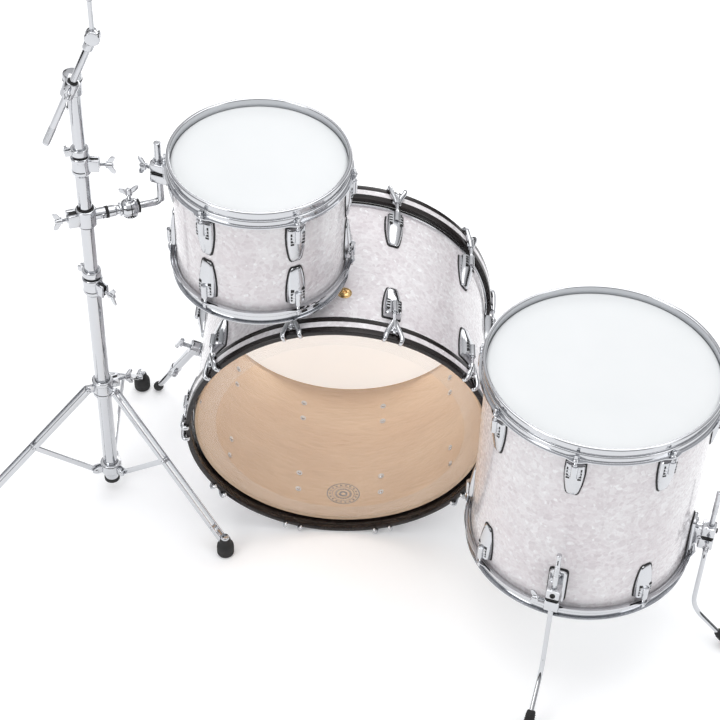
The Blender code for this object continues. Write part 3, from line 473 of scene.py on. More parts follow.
def felt_finish():
    made = Finish("felt", (0.55, 0.55, 0.56), 0.95, Sheen_Weight=0.4)
    fibres = made.noise(520, 5, 0.75)
    made.colour(made.ramp(fibres.outputs["Fac"], (0.3, (0.40, 0.40, 0.42)), (0.7, (0.66, 0.66, 0.67))))
    made.bump(fibres.outputs["Fac"], 0.0006, 0.8)
    return made.material


def brass_finish():
    made = Finish("brass", (0.80, 0.55, 0.25), 0.2, 1.0)
    tarnish = made.noise(140, 4, 0.6)
    made.colour(made.ramp(tarnish.outputs["Fac"], (0.3, (0.62, 0.40, 0.17)), (0.7, (0.86, 0.62, 0.30))))
    made.rough(made.spread(tarnish.outputs["Fac"], 0.3, 0.7, 0.14, 0.32))
    return made.material


def print_finish():
    """Worn grey ink of the ring emblem on the clear head."""
    made = Finish("grey_ink", (0.25, 0.24, 0.23), 0.6)
    wear = made.noise(220, 4, 0.7)
    made.colour(made.ramp(wear.outputs["Fac"], (0.35, (0.20, 0.19, 0.19)), (0.65, (0.42, 0.38, 0.35))))
    return made.material


PEARL = pearl_finish()
CHROME = chrome_finish()
CAST = cast_finish()
COATED = coated_finish()
FRONT = front_finish()
CLEAR = clear_finish("clear_film", 0.05)
UNDERLAY = clear_finish("underlay_film", 0.07)
MAPLE = maple_finish()
LACQUER = lacquer_finish()
RUBBER = rubber_finish()
GASKET = rubber_finish("gasket", 0.012)
FELT = felt_finish()
BRASS = brass_finish()
INK = print_finish()

# ================================================================ drums
Drum = namedtuple("Drum", "name radius depth wall lugs phase rod_offset lug_inset place body vent seam bare")
BASS_TILT = 5.0
LEG_ANGLES = (-106.0, -16.0, 119.0)     # each leg bracket takes the place of a lower lug
BASS_AXIS = turn(90 + BASS_TILT, "X").to_3x3() @ UP
BASS = Drum("bass", 0.2794, 0.3556, 0.0065, 10, 0.0, 0.0190, 0.045,
            frame_at(centre_of("bass_shell"), BASS_AXIS, (1, 0, 0)), "kit", (90.0, 0.085), -75.0, ())
RACK = Drum("rack_tom", 0.1524, 0.2286, 0.0055, 6, -63.0, 0.0125, 0.030,
            frame_at(centre_of("rack_tom_shell"), axis_of("tom_swivel"), (1, 0, 0)), "rack_tom",
            (27.0, 0.0), 70.0, ())
FLOOR = Drum("floor_tom", 0.2032, 0.4064, 0.0055, 8, -16.0, 0.0125, 0.030,
             frame_at(centre_of("floor_tom_shell"), UP, (1, 0, 0)), "kit", (35.0, 0.0), -98.0, LEG_ANGLES)

WRAP = 0.0005                 # thickness of the pearl covering
WRAP_INSET = 0.006            # it stops this far from the bearing edge
WRAP_OVERLAP = 9.0            # degrees
EDGE_PEAK = 0.0022            # bearing edge's crest, inside the outer face
TOM_FLESH_DROP = 0.0062
BASS_FLESH_DROP = 0.0200
FLESH = (0.0050, 0.0080)      # flesh hoop of a head: width and height
HOOP_METAL = 0.0022
HOOP_RISE = 0.0145
HOOP_SKIRT = 0.0100
WOOD_HOOP = (0.2935, 0.2830)  # outer and inner radius
WOOD_HOOP_WIDTH = 0.0380
LUG_LENGTH = 0.076
EMBLEM_RINGS = ((0.0330, 0.0308, 64), (0.0225, 0.0212, 64), (0.0085, 0.0045, 32))
EMBLEM_DOTS = 18
EMBLEM_DOT_ROWS = ((0.0268, 0), (0.0150, 0.5))
EMBLEM_PLACE = (0.009, -0.192)
INK_HEIGHT = 0.00015
LUG_RIB_TURN = 8.0         # degrees that the ribbed sides, with black plates of painted shade under their ribs, face outwards
LUG_SCREWS = (0.016, 0.058)   # from the hoop end of a lug
SPINS = 128                   # steps round a drum


def ends_of(drum):
    """(end number, frame, lug angles) for the batter end and the other end, each with +Z outward."""
    angles = [drum.phase + 360 * i / drum.lugs for i in range(drum.lugs)]
    return [(0, drum.place, angles), (1, drum.place @ turn(180, "X"), [-angle for angle in angles])]


def has_lug(drum, end, angle):
    """The far end has no lug where a leg bracket is; there, an angle counts the other way round."""
    return end == 0 or all((angle + other) % 360 > 0.01 for other in drum.bare)


def vent_hole(mesh, drum):
    """Bores the vent through a shell or its covering."""
    obj = bpy.data.objects.new("bored", mesh)
    tool = bpy.data.objects.new("bore",
            moved(along(bar(0.006, -0.02, 0.02), "X"), at(drum.radius, 0, drum.vent[1]), turn(drum.vent[0])))
    for item in (obj, tool):
        bpy.context.scene.collection.objects.link(item)
    cut = obj.modifiers.new("vent", "BOOLEAN")
    cut.operation = "DIFFERENCE"
    cut.solver = "EXACT"
    cut.object = tool
    depsgraph = bpy.context.evaluated_depsgraph_get()
    depsgraph.update()
    result = bpy.data.meshes.new_from_object(obj.evaluated_get(depsgraph), depsgraph=depsgraph)
    bpy.data.objects.remove(obj, do_unlink=True)
    bpy.data.objects.remove(tool, do_unlink=True)
    return result


def shell_shape(drum):
    """Maple ring with a 45 degree cut inside and a small round-over outside each bearing edge."""
    half = drum.depth / 2
    outer, inner = drum.radius - WRAP, drum.radius - drum.wall
    crest = drum.radius - EDGE_PEAK
    side = [
        Vector((outer, half - 0.0035)), Vector((outer - 0.0006, half - 0.0012)), Vector((crest, half)),
        Vector((crest - 0.0006, half - 0.0004)), Vector((inner, half - (crest - inner))),
    ]
    other = [Vector((point.x, -point.y)) for point in reversed(side)]
    return vent_hole(spun(side + other, SPINS), drum)


def wrap_shape(drum):
    """Pearl sheet once round the shell, its last few degrees lying over its start."""
    top = drum.depth / 2 - WRAP_INSET
    bm = bmesh.new()
    sections = []
    total = 360 + WRAP_OVERLAP
    for step in range(SPINS + 4):
        angle = total * step / (SPINS + 3)
        lift = WRAP * 1.15 * min(1.0, max(0.0, (angle - (360 - 3)) / 3))
        angle = math.radians(drum.seam + angle)
        low, high = drum.radius - WRAP + lift + 0.00003, drum.radius + lift
        ring = [(low, -top), (high, -top), (high, top), (low, top)]
        sections.append([bm.verts.new((r * math.cos(angle), r * math.sin(angle), z)) for r, z in ring])
    bridged(bm, sections)
    return vent_hole(finished(bm), drum)


def tom_head_shape(drum):
    """Film drawn over the bearing edge and crimped in its flesh hoop; +Z end."""
    top = drum.depth / 2 + 0.0008
    collar = drum.radius + 0.0011
    film = [
        Vector((0, top)), Vector((drum.radius - 0.0060, top)), Vector((drum.radius - 0.0030, top - 0.0001)),
        Vector((drum.radius - 0.0008, top - 0.0008)), Vector((collar, top - 0.0026)),
        Vector((collar, top - 0.010)),
        Vector((collar - 0.0003, top - 0.010)), Vector((collar - 0.0003, top - 0.0028)),
        Vector((drum.radius - 0.0011, top - 0.0012)), Vector((drum.radius - 0.0032, top - 0.0005)),
        Vector((0, top - 0.0005)),
    ]
    return spun(film, SPINS), flesh_hoop_shape(drum, TOM_FLESH_DROP)


def flesh_hoop_shape(drum, drop):
    high = drum.depth / 2 - drop
    low = high - FLESH[1]
    inner, outer = drum.radius + 0.0012, drum.radius + 0.0004 + FLESH[0]
    return pipe(outer, inner, low, high, SPINS, 0.0012)


def tom_hoop_shape(drum, angles):
    """Triple-flanged steel hoop of the +Z end, with an ear at each rod."""
    r, edge = drum.radius, drum.depth / 2
    top = edge + HOOP_RISE
    seat = edge - TOM_FLESH_DROP + 0.0003
    low = seat - HOOP_SKIRT
    path = [
        Vector((r + 0.0078, top - 0.0042)), Vector((r + 0.0074, top - 0.0012)),
        Vector((r + 0.0029, top - 0.0008)),
        Vector((r + 0.0029, seat + 0.0011)), Vector((r + 0.0069, seat + 0.0008)),
        Vector((r + 0.0069, low - 0.0011)),
        Vector((r + 0.0126, low - 0.0011)),
    ]
    path = rounded(path, 0.0022, closed=False, steps=4)
    profile = []
    for side in (1, -1):
        line = []
        for i, point in enumerate(path):
            ahead = path[min(i + 1, len(path) - 1)] - path[max(i - 1, 0)]
            line.append(point + Vector((-ahead.y, ahead.x)).normalized() * side * HOOP_METAL / 2)
        profile += line[::side]
    start = r + 0.0088
    rods = [math.radians(angle) for angle in angles]

    def ear(radius, height, angle):
        if radius < start or height > low + 0.001:
            return 0.0
        nearest = min(abs((angle - rod + math.pi) % TAU - math.pi) for rod in rods) * r
        swell = max(0.0, 1 - (nearest / 0.017) ** 2)
        return 0.0052 * swell ** 1.5 * min(1.0, (radius - start) / 0.003)
    return spun(profile, 288, bulge=ear)


def square_head():
    """Square-topped tension rod head with its collar; Z = 0 is the face it presses on."""
    collar = spun(mm((0, 2.6), (4.2, 2.6), (5.6, 0.9), (5.6, 0), (0, 0)), 24, 0.0003)
    return [collar, block((0.0060, 0.0060, 0.0085), (0, 0, 0.0062), 0.0007)]


def washer(radius=0.0062, height=0.0012):
    return pipe(radius, 0.0031, 0, height, 24, 0.0003)


def tom_rod_mesh(drum):
    """Tension rod from its lug to its head above the ear."""
    ear = drum.depth / 2 - TOM_FLESH_DROP + 0.0003 - HOOP_SKIRT
    lug = drum.depth / 2 - drum.lug_inset
    shank = thread(0.0029, lug - 0.004, ear - HOOP_METAL - 0.0004)
    neck = bar(0.0027, ear - HOOP_METAL - 0.0006, ear + 0.002)
    head = [moved(part, at(0, 0, ear + 0.0013)) for part in square_head()]
    parts = [shank, neck, moved(washer(), at(0, 0, ear + 0.0001))] + head
    return merged([(part, CHROME) for part in parts])


def lug_outline(drum, grow=0.0):
    """Half-width and height of a lug from its hoop end to its tail: (share of length, width, height)."""
    deep = drum.rod_offset - 0.0010
    return [(0.0, 0.0148 + grow, deep * 0.90), (0.03, 0.0164 + grow, deep), (0.28, 0.0172 + grow, deep),
            (0.50, 0.0163 + grow, deep * 0.86), (0.70, 0.0144 + grow, deep * 0.64),
            (0.87, 0.0118 + grow, deep * 0.45), (0.96, 0.0096 + grow, deep * 0.35),
            (1.0, 0.0062 + grow, deep * 0.2)]


def lug_body(drum, thick=None, grow=0.0):
    """Arched casting, or a flat gasket of the same outline if thick is given; its back is on the shell."""
    sections = []
    for share, width, height in lug_outline(drum, grow):
        z = grow - share * (LUG_LENGTH + 2 * grow)
        x_of = (lambda s: thick * min(1.0, s * 6)) if thick else (lambda s: 0.0012 + height * s ** 0.62)
        section = []
        for step in range(17):
            angle = math.pi * step / 16
            section.append(Vector((x_of(math.sin(angle)),
                    width * math.copysign(abs(math.cos(angle)) ** 0.8, math.cos(angle)), z)))
        sections.append(section)
    return lofted(sections)


# turns an outline drawn in XY to face along X: its own X runs along Y and its Y along Z
FACE_OUTWARD = Matrix(((0, 0, 1, 0), (1, 0, 0, 0), (0, 1, 0, 0), (0, 0, 0, 1)))


def on_shell(mesh, drum):
    """Bends the back of a part to the round of the shell."""
    mesh = mesh.copy()
    for vert in mesh.vertices:
        vert.co.x -= vert.co.y ** 2 / (2 * drum.radius)
    return mesh


def lug_mesh(drum):
    """Lug with gasket, ribbed housing and swivel nut; Z = 0 is its hoop end."""
    out = drum.rod_offset
    body = lug_body(drum)
    gasket = lug_body(drum, 0.0016, 0.0020)
    spine = bar(0.0062, -0.026, 0.0012, 24, 0.0008)
    nut = pipe(0.0042, 0.0026, -0.001, 0.0052, 20, 0.0003)
    parts = [(on_shell(body, drum), CAST), (on_shell(gasket, drum), GASKET)]
    parts += [(moved(shape, at(out, 0, 0)), CAST) for shape in (spine, nut)]
    for side in (1, -1):
        # black plate under the ribs: painted shade between them
        rib_shade_plate = block((0.0012, 0.0064, 0.0260), (out - 0.0006, side * 0.0084, -0.0200), 0.0004)
        parts.append((moved(rib_shade_plate, turn(side * LUG_RIB_TURN)), GASKET))
        for rib in range(3):
            ridge = block((0.0024, 0.0068, 0.0020), (out - 0.0005, side * 0.0084, -0.0130 - 0.0070 * rib),
                          0.0004)
            parts.append((moved(ridge, turn(side * LUG_RIB_TURN)), CAST))
    return merged(parts)


def lug_screws(drum):
    """Heads and washers of the lug screws, on the inside of the shell."""
    inner = drum.radius - drum.wall
    plate = pipe(0.0062, 0.0030, 0, 0.0010, 20, 0.0003)
    dome = spun(mm((0, 3.4), (2.2, 3.1), (3.8, 1.9), (4.0, 0.8), (0, 0.8)), 20, 0.0003)
    parts = []
    for _, where, angles in ends_of(drum):
        local = drum.place.inverted() @ where
        for angle in angles:
            for down in LUG_SCREWS:
                spot = local @ turn(angle) @ at(inner, 0,
                                                drum.depth / 2 - drum.lug_inset - down) @ turn(-90, "Y")
                parts += [(moved(shape, spot), CHROME) for shape in (plate, dome)]
    return merged(parts)


def vent_mesh(drum, badge):
    """Grommet through the vent and the plain round plate that it holds."""
    grommet = spun(mm((4.0, 2.4), (5.0, 2.9), (8.2, 1.6), (8.4, 0.5), (5.4, 0.3), (5.4, -8.0), (4.0, -8.0)),
                   32, 0.0004)
    parts = [(grommet, BRASS)]
    if badge:
        plate = spun(mm((5.6, 1.9), (8.6, 1.6), (9.4, 0.9), (11.4, 0.9), (12.4, 1.5), (13.4, 0.8),
                        (13.4, 0), (5.6, 0)), 48, 0.0003)
        parts.append((on_shell(moved(plate, turn(90, "Y")), drum), BRASS))
        parts[0] = (moved(grommet, turn(90, "Y")), BRASS)
    else:
        parts[0] = (moved(grommet, turn(90, "Y")), CHROME)
    return merged(parts)


def build_common(drum):
    """What all three drums have: shell, covering, lugs, screws and vent."""
    name = drum.name
    put(name + "_maple_shell", [(shell_shape(drum), MAPLE)], drum.body, drum.place,
        [name + "_shell"])
    put(name + "_pearl_wrap", [(wrap_shape(drum), PEARL)], drum.body, drum.place)
    put(name + "_lug_screws", lug_screws(drum), drum.body, drum.place)
    vent_place = drum.place @ turn(drum.vent[0]) @ at(drum.radius + 0.0002, 0, drum.vent[1])
    put(name + "_vent", vent_mesh(drum, drum is BASS), drum.body, vent_place)
    lug = lug_mesh(drum)
    for end, where, angles in ends_of(drum):
        for i, angle in enumerate(angles):
            if has_lug(drum, end, angle):
                spot = where @ turn(angle) @ at(drum.radius, 0, drum.depth / 2 - drum.lug_inset)
                put(f"{name}_lug_{end * drum.lugs + i + 1:02d}", lug, drum.body, spot)


def build_tom(drum):
    build_common(drum)
    film, flesh = tom_head_shape(drum)
    rod = tom_rod_mesh(drum)
    for end, where, angles in ends_of(drum):
        side = ("batter", "resonant")[end]
        put(f"{drum.name}_{side}_film", [(film, COATED), (flesh, CHROME)], drum.body,
            where,
            [f"{drum.name}_{side}_head"])
        put(f"{drum.name}_{side}_steel_hoop", [(tom_hoop_shape(drum, angles), CHROME)], drum.body,
            where,
            [f"{drum.name}_{side}_hoop"])
        for i, angle in enumerate(angles):
            spot = where @ turn(angle) @ at(drum.radius + drum.rod_offset, 0, 0)
            put(f"{drum.name}_{side}_rod_{i + 1}", rod, drum.body, spot)


# ---------------------------------------------------------------- bass drum ends
def wood_hoop_parts():
    """Bass hoop of the +Z end: lacquered maple with a pearl strip let into its outer face."""
    outer, inner = WOOD_HOOP
    seat = BASS.depth / 2 - BASS_FLESH_DROP + 0.0003
    face = seat + WOOD_HOOP_WIDTH
    groove, third = 0.0004, WOOD_HOOP_WIDTH / 3
    ring = [
        Vector((outer, face)), Vector((outer, face - third)), Vector((outer - groove, face - third)),
        Vector((outer - groove, seat + third)), Vector((outer, seat + third)), Vector((outer, seat)),
        Vector((inner, seat)), Vector((inner, face)),
    ]
    profile = []
    for i, point in enumerate(ring):
        eased = i in (0, 5, 6, 7)
        profile += rounded([ring[i - 1], point, ring[(i + 1) % 8]], 0.0028,
                           closed=False)[1:-1] if eased else [point]
    inlay = pipe(outer + 0.00005, outer - groove + 0.00002, seat + third + 0.0002, face - third - 0.0002,
                 SPINS, 0.0001)
    return [(spun(profile, SPINS), LACQUER), (inlay, PEARL)]


def bass_film_shape():
    """Bass head: film over the bearing edge, long collar inside the hoop; +Z end."""
    r, top = BASS.radius, BASS.depth / 2 + 0.0008
    low = BASS.depth / 2 - BASS_FLESH_DROP - 0.006
    film = [
        Vector((0, top)), Vector((r - 0.0080, top)), Vector((r - 0.0030, top - 0.0002)),
        Vector((r, top - 0.0020)),
        Vector((r + 0.0011, top - 0.0050)), Vector((r + 0.0011, low)), Vector((r + 0.0008, low)),
        Vector((r + 0.0008, top - 0.0052)), Vector((r - 0.0003, top - 0.0023)),
        Vector((r - 0.0032, top - 0.0005)),
        Vector((0, top - 0.0003)),
    ]
    return spun(film, SPINS)


def claw_mesh():
    """Two-pronged claw with its key-headed rod, on the rod's axis; Z = 0 is the hoop's front face."""
    arm = []
    reach = WOOD_HOOP[0] - BASS.radius - BASS.rod_offset
    for side in (1, -1):
        line = mm(
            (0.6, side * 2.4, -39), (0.9, side * 4.5, -30), (0.8, side * 8.5, -20), (0.6, side * 12.4, -11),
            (0.2, side * 15.0, -3), (-1.2, side * 15.7, 2.2), (-4.2, side * 15.8, 4.2),
            (-7.4, side * 15.8, 3.8),
            (-9.4, side * 15.8, 1.8),
        )
        radii = [0.0042, 0.0047, 0.0049, 0.0049, 0.0048, 0.0046, 0.0043, 0.0042, 0.0042]
        smooth, sizes = [], []
        for i in range(len(line) - 1):
            for step in range(3):
                t = step / 3
                smooth.append(line[i].lerp(line[i + 1], t))
                sizes.append((radii[i] * (1 - t) + radii[i + 1] * t))
        smooth = [smooth[0]] + [(smooth[i - 1] + smooth[i] * 2 + smooth[i + 1]) / 4
                                for i in range(1, len(smooth) - 1)] + [line[-1]]
        sizes = sizes[:-1] + [0.0030]
        arm.append(swept(smooth, sizes, 14))
        tip = spun(mm((0, 4.2), (2.6, 3.6), (4.2, 1.6), (4.2, -1.6), (2.6, -3.6), (0, -4.2)), 16)
        arm.append(moved(tip, at(-0.0088, side * 0.0158, 0.0030)))
    web = slab(mm((-3.6, -38), (3.6, -38), (9.6, -17), (7.0, -14), (-7.0, -14), (-9.6, -17)), -0.0014,
               0.0016, 0.002, 0.0008)
    web = moved(web, at(0.0004, 0, 0) @ FACE_OUTWARD)
    boss = pipe(0.0056, 0.0032, -0.0400, -0.0200, 24, 0.0008)
    foot = block((0.0030, 0.0180, 0.0080), (reach + 0.0016, 0, -0.0340), 0.001)
    shank = thread(0.0029, -(WOOD_HOOP_WIDTH - BASS_FLESH_DROP) - BASS.lug_inset - 0.004, -0.0400)
    head = [moved(shape, at(0, 0, -0.0200)) for shape in square_head()]
    cast = [(shape, CAST) for shape in arm + [web, boss, foot]]
    return merged(cast + [(shape, CHROME) for shape in [shank] + head])


def build_bass_drum():
    build_common(BASS)
    film = bass_film_shape()
    flesh = flesh_hoop_shape(BASS, BASS_FLESH_DROP)
    face = BASS.depth / 2 - BASS_FLESH_DROP + 0.0003 + WOOD_HOOP_WIDTH
    claw = claw_mesh()
    hoop = merged(wood_hoop_parts())
    for end, where, angles in ends_of(BASS):
        side = ("batter", "front")[end]
        slot, finish = (("clear_head_film", CLEAR), ("coated_head_film", FRONT))[end]
        put(f"bass_{side}_film", [(film, finish), (flesh, CHROME)], "kit", where, [f"bass_{side}_head"])
        put(f"bass_{side}_wood_hoop", hoop, "kit", where, [f"bass_{side}_hoop"])
        for i, angle in enumerate(angles):
            spot = where @ turn(angle) @ at(BASS.radius + BASS.rod_offset, 0, face)
            put(f"bass_{side}_claw_{i + 1:02d}", claw, "kit", spot)
    under = BASS.depth / 2
    ring = pipe(BASS.radius - 0.0080, BASS.radius - 0.0420, under - 0.0012, under - 0.0004, SPINS, 0.0)
    put("bass_underlay_ring", [(ring, UNDERLAY)], "kit", BASS.place)
    emblem = [pipe(outer, inner, 0, INK_HEIGHT, segments, 0.0) for outer, inner, segments in EMBLEM_RINGS]
    dot = pipe(0.0024, 0.0006, 0, INK_HEIGHT, 12, 0.0)
    for i in range(EMBLEM_DOTS):
        for radius, phase in EMBLEM_DOT_ROWS:
            emblem.append(moved(dot, turn((i + phase) * 360 / EMBLEM_DOTS) @ at(radius, 0, 0)))
    spot = BASS.place @ at(*EMBLEM_PLACE, under + 0.0009)
    put("bass_ring_emblem", [(shape, INK) for shape in emblem], "kit", spot)


# ================================================================ screws and knobs
def wing_bolt_mesh():
    """Wing bolt on Z, from the face that it screws into."""
    shank = thread(0.0033, 0.0003, 0.0115)
    hub = spun(mm((0, 24.5), (3.4, 24.0), (4.8, 22.0), (5.6, 13.5), (6.6, 12.6), (6.6, 11.0), (0, 11.0)),
               28, 0.0006)
    wings = []
    for side in (1, -1):
        outline = mm((side * 2, 12.8), (side * 8, 13.6), (side * 17.6, 20.4), (side * 18.4, 27.0),
                     (side * 13.4, 27.4), (side * 2, 22.0))
        wing = slab(outline, -0.0016, 0.0016, 0.0042, 0.0009)
        wings.append(moved(wing, turn(90, "X")))
    return merged([(shank, CHROME)] + [(shape, CAST) for shape in [hub] + wings])


def tee_bolt_mesh():
    shank = thread(0.0048, 0.0003, 0.0165)
    collar = spun(mm((0, 19), (6.4, 19), (7.4, 17.6), (7.4, 15.4), (0, 15.4)), 28, 0.0005)
    bar_shape = swept(mm((-23, 0, 21.5), (-20, 0, 21.5), (-8, 0, 21.5), (0, 0, 21.5), (8, 0, 21.5),
                         (20, 0, 21.5), (23, 0, 21.5)),
                      [0.0030, 0.0046, 0.0040, 0.0050, 0.0040, 0.0046, 0.0030], 20)
    return merged([(shank, CHROME), (collar, CAST), (bar_shape, CAST)])


def round_screw():
    """Domed screw with a hex socket, Z = 0 on the face."""
    dome = spun(mm((1.6, 0.8), (1.6, 2.6), (2.6, 3.0), (4.2, 2.4), (5.0, 1.2), (5.0, 0), (0, 0), (0, 0.8)),
                28)
    return dome


WING_BOLT = wing_bolt_mesh()
TEE_BOLT = tee_bolt_mesh()


def put_bolt(node, joint, body, mesh=None, hint=(0, 0, 1)):
    """A bolt that replaces the CAD one, on its joint's axis."""
    where = frame_at(place_of(joint), axis_of(joint), hint)
    return put(node.replace("bolt", "screw"), mesh or WING_BOLT, body, where, [node])


# ================================================================ spurs
def plate_on_shell(plate, gasket, drum):
    """Cast plate and its gasket, drawn flat in XY, bent round the drum's shell and facing outward."""
    return [(on_shell(moved(shape, FACE_OUTWARD), drum), finish)
            for shape, finish in ((plate, CAST), (gasket, GASKET))]


SPUR_STATION = -0.100
SPUR_ANGLE = 105.0


def build_spur(name, side):
    pivot = place_of(f"spur_{name}_fold")
    outward = axis_of(f"spur_{name}_bolt_turn")
    down = axis_of(f"spur_{name}_extend")
    hinge = frame_at(pivot, outward, down)
    foot = BASS.place @ turn(90 - side * SPUR_ANGLE) @ at(BASS.radius, 0, SPUR_STATION)

    plate = slab(mm((-20, -29), (20, -29), (23, -12), (23, 12), (20, 29), (-20, 29), (-23, 12), (-23, -12)),
                 0.0014, 0.0092, 0.008, 0.0022)
    gasket = slab(mm((-22, -31), (22, -31), (25, -12), (25, 12), (22, 31), (-22, 31), (-25, 12),
                     (-25, -12)), 0.0, 0.0016, 0.009, 0.0004)
    parts = plate_on_shell(plate, gasket, BASS)
    for z in (-0.021, 0.021):
        parts.append((moved(round_screw(), FACE_OUTWARD, at(0.0090, 0, z)), CHROME))
    back = foot.inverted() @ hinge
    boss = spun(mm((0, -11.4), (14.0, -11.4), (14.8, -13.0), (13.4, -24.0), (16.0, -36.0), (0, -36.0)), 36,
                0.001)
    tooth = block((0.0030, 0.0012, 0.0010), (0.0122, 0, -0.0113), 0.0002)
    teeth = [moved(tooth, turn(15 * i)) for i in range(24)]
    parts += [(moved(shape, back), CAST) for shape in [boss] + teeth]
    put(f"spur_mount_{name}", parts, "kit", foot, [f"spur_bracket_{name}"])

    head = spun(mm((0, 10.8), (13.2, 10.8), (15.4, 8.6), (15.4, -8.6), (14.2, -10.8), (0, -10.8)), 40, 0.0012)
    sleeve = spun(mm((6.9, 12), (6.9, 150), (11.0, 150), (11.6, 146), (11.6, 132), (9.6, 128), (9.5, 12)),
                  36, 0.0006)
    clamp = block((0.0160, 0.0120, 0.0120), (0.139, 0.0125, 0), 0.0015)
    pinch = moved(along(round_screw(), "Y"), at(0.139, 0.0183, 0))
    body = [(head, CAST), (along(sleeve, "X"), CHROME), (clamp, CAST), (pinch, CHROME)]
    put(f"spur_sleeve_{name}", body, f"spur_{name}", hinge, [f"spur_tube_{name}"])

    tip = (pivot.z - 0.0105) / abs(down.z)
    rod = along(bar(0.0067, 0.062, tip - 0.006, 32), "X")
    grooves = [along(pipe(0.0071, 0.0060, 0.160 + 0.006 * i, 0.1612 + 0.006 * i, 32, 0.0002), "X")
               for i in range(4)]
    rubber = spun(mm((0, -12), (7.6, -12), (9.0, -9), (10.4, -3), (10.4, 3), (7.6, 8.4), (4, 10.2),
                     (0, 10.4)), 32, 0.001)
    parts = [(rod, CHROME), (moved(along(rubber, "X"), at(tip, 0, 0)), RUBBER)]
    parts += [(groove, CAST) for groove in grooves]
    put(f"spur_leg_{name}", parts, f"spur_{name}_leg", hinge, [f"spur_rod_{name}"])
    put_bolt(f"spur_bolt_{name}", f"spur_{name}_bolt_turn", f"spur_{name}_bolt", TEE_BOLT, down)


# ================================================================ floor tom legs
LEG_BRACKET = (0.046, 0.032, 0.080)
LEG_OFFSET = 0.036
LEG_RADIUS = 0.00475
LEG_TOP, LEG_BEND, LEG_REACH = 0.405, 0.090, 0.082
LEG_FOOT_RADIUS = 0.0145


def bracket_parts(drum, size, rod_offset, rod_radius):
    """Two-part casting on a shell, X outward, with its black gasket, screws and eye for a rod along Z."""
    depth, width, height = size
    w, h = width * 500, height * 500
    plate = slab(mm((-w, -h), (w, -h), (w, h), (-w, h)), 0.0014, 0.0085, 0.008, 0.002)
    gasket = slab(mm((-w - 2, -h - 2), (w + 2, -h - 2), (w + 2, h + 2), (-w - 2, h + 2)), 0.0, 0.0018,
                  0.009, 0.0004)
    neck = block((rod_offset - 0.004, width * 0.62, height * 0.50),
                 ((rod_offset + 0.006) / 2, 0, -height * 0.02), 0.004)
    upper = block((depth - 0.020, width * 0.80, height * 0.27), ((depth + 0.020) / 2, 0, height * 0.20),
                  0.003)
    lower = block((depth - 0.018, width * 0.84, height * 0.31), ((depth + 0.018) / 2, 0, -height * 0.18),
                  0.003)
    joint_line = block((depth - 0.021, width * 0.76, 0.0024), ((depth + 0.018) / 2, 0, height * 0.02), 0.0004)
    parts = plate_on_shell(plate, gasket, drum)
    parts += [(neck, CAST), (upper, CAST), (lower, CAST), (joint_line, GASKET)]
    eye = [pipe(rod_radius + 0.0040, rod_radius + 0.0006, z, z + 0.0030, 28)
           for z in (-height * 0.36, height * 0.325)]
    parts += [(moved(shape, at(rod_offset, 0, 0)), CAST) for shape in eye]
    for side in (1, -1):
        screw = moved(along(round_screw(), "Y" if side > 0 else "-Y"),
                      at(rod_offset * 0.55, side * width * 0.31, -height * 0.02))
        parts.append((screw, CHROME))
    for z in (-h * 0.00082, h * 0.00082):
        parts.append((moved(round_screw(), FACE_OUTWARD, at(0.0084, 0, z)), CHROME))
    parts.append((moved(round_screw(), FACE_OUTWARD, at(depth + 0.0002, 0, height * 0.20)), GASKET))
    return parts


def build_floor_leg(index):
    bolt = f"leg_wing_bolt_{index}_turn"
    height = centre_of(f"leg_bracket_{index}").z
    around = at(FLOOR.place.translation.x, FLOOR.place.translation.y,
                height) @ turn(LEG_ANGLES[int(index) - 1])
    foot = around @ at(FLOOR.radius, 0, 0)
    put(f"leg_mount_{index}", bracket_parts(FLOOR, LEG_BRACKET, LEG_OFFSET, LEG_RADIUS), "kit",
        foot,
        [f"leg_bracket_{index}"])
    put_bolt(f"leg_wing_bolt_{index}", bolt, f"leg_wing_bolt_{index}")

    axis = foot @ at(LEG_OFFSET, 0, 0)
    top, bend = Vector((0, 0, LEG_TOP - height)), Vector((0, 0, LEG_BEND - height))
    ball = Vector((LEG_REACH, 0, LEG_FOOT_RADIUS - height))
    slant = (ball - bend).normalized()
    line = rounded([top, bend, ball - slant * 0.012], 0.030, closed=False, steps=10)
    rod = swept(line, LEG_RADIUS, 28)
    cap = spun(mm((0, 1.2), (3.6, 0.9), (4.9, -0.6), (4.9, -4.0), (0, -4.0)), 28, 0.0004)
    knurls = [pipe(0.00500, 0.0040, top.z - 0.030 - 0.0022 * i, top.z - 0.0290 - 0.0022 * i, 28, 0.0002)
              for i in range(12)]
    # black bar on the rod: painted shade of a slot
    slot_shade = block((0.0012, 0.0020, 0.012), (0.0046, 0, top.z - 0.016), 0.0004)
    parts = [(rod, CHROME), (moved(cap, at(*top)), CHROME), (slot_shade, GASKET)]
    parts += [(shape, CHROME) for shape in knurls]
    put(f"floor_leg_rod_{index}", parts, f"floor_leg_{index}", axis, [f"floor_leg_{index}"])

    boot = spun(mm((0, 34), (6.4, 34), (8.4, 31), (8.8, 20), (10.0, 12), (13.6, 6), (14.5, 0), (13.2, -7),
                   (9.0, -11.6), (0, -14.5)), 36, 0.0015)
    rings = [pipe(0.0100 - 0.0002 * i, 0.0080, 0.017 + 0.004 * i, 0.0185 + 0.004 * i, 36, 0.0004)
             for i in range(3)]
    stand = frame_at(ball, -slant, (0, 1, 0))
    pad = spun(mm((0, -14.5), (7, -14.5), (10.5, -12.0), (13.2, -8), (14.5, -1), (14.5, 0), (0, 0)), 36,
               0.0008)
    parts = [(moved(shape, stand), RUBBER) for shape in [boot] + rings]
    parts.append((moved(pad, at(*ball)), RUBBER))
    put(f"leg_boot_{index}", parts, f"floor_leg_{index}", axis, [f"leg_foot_{index}"])


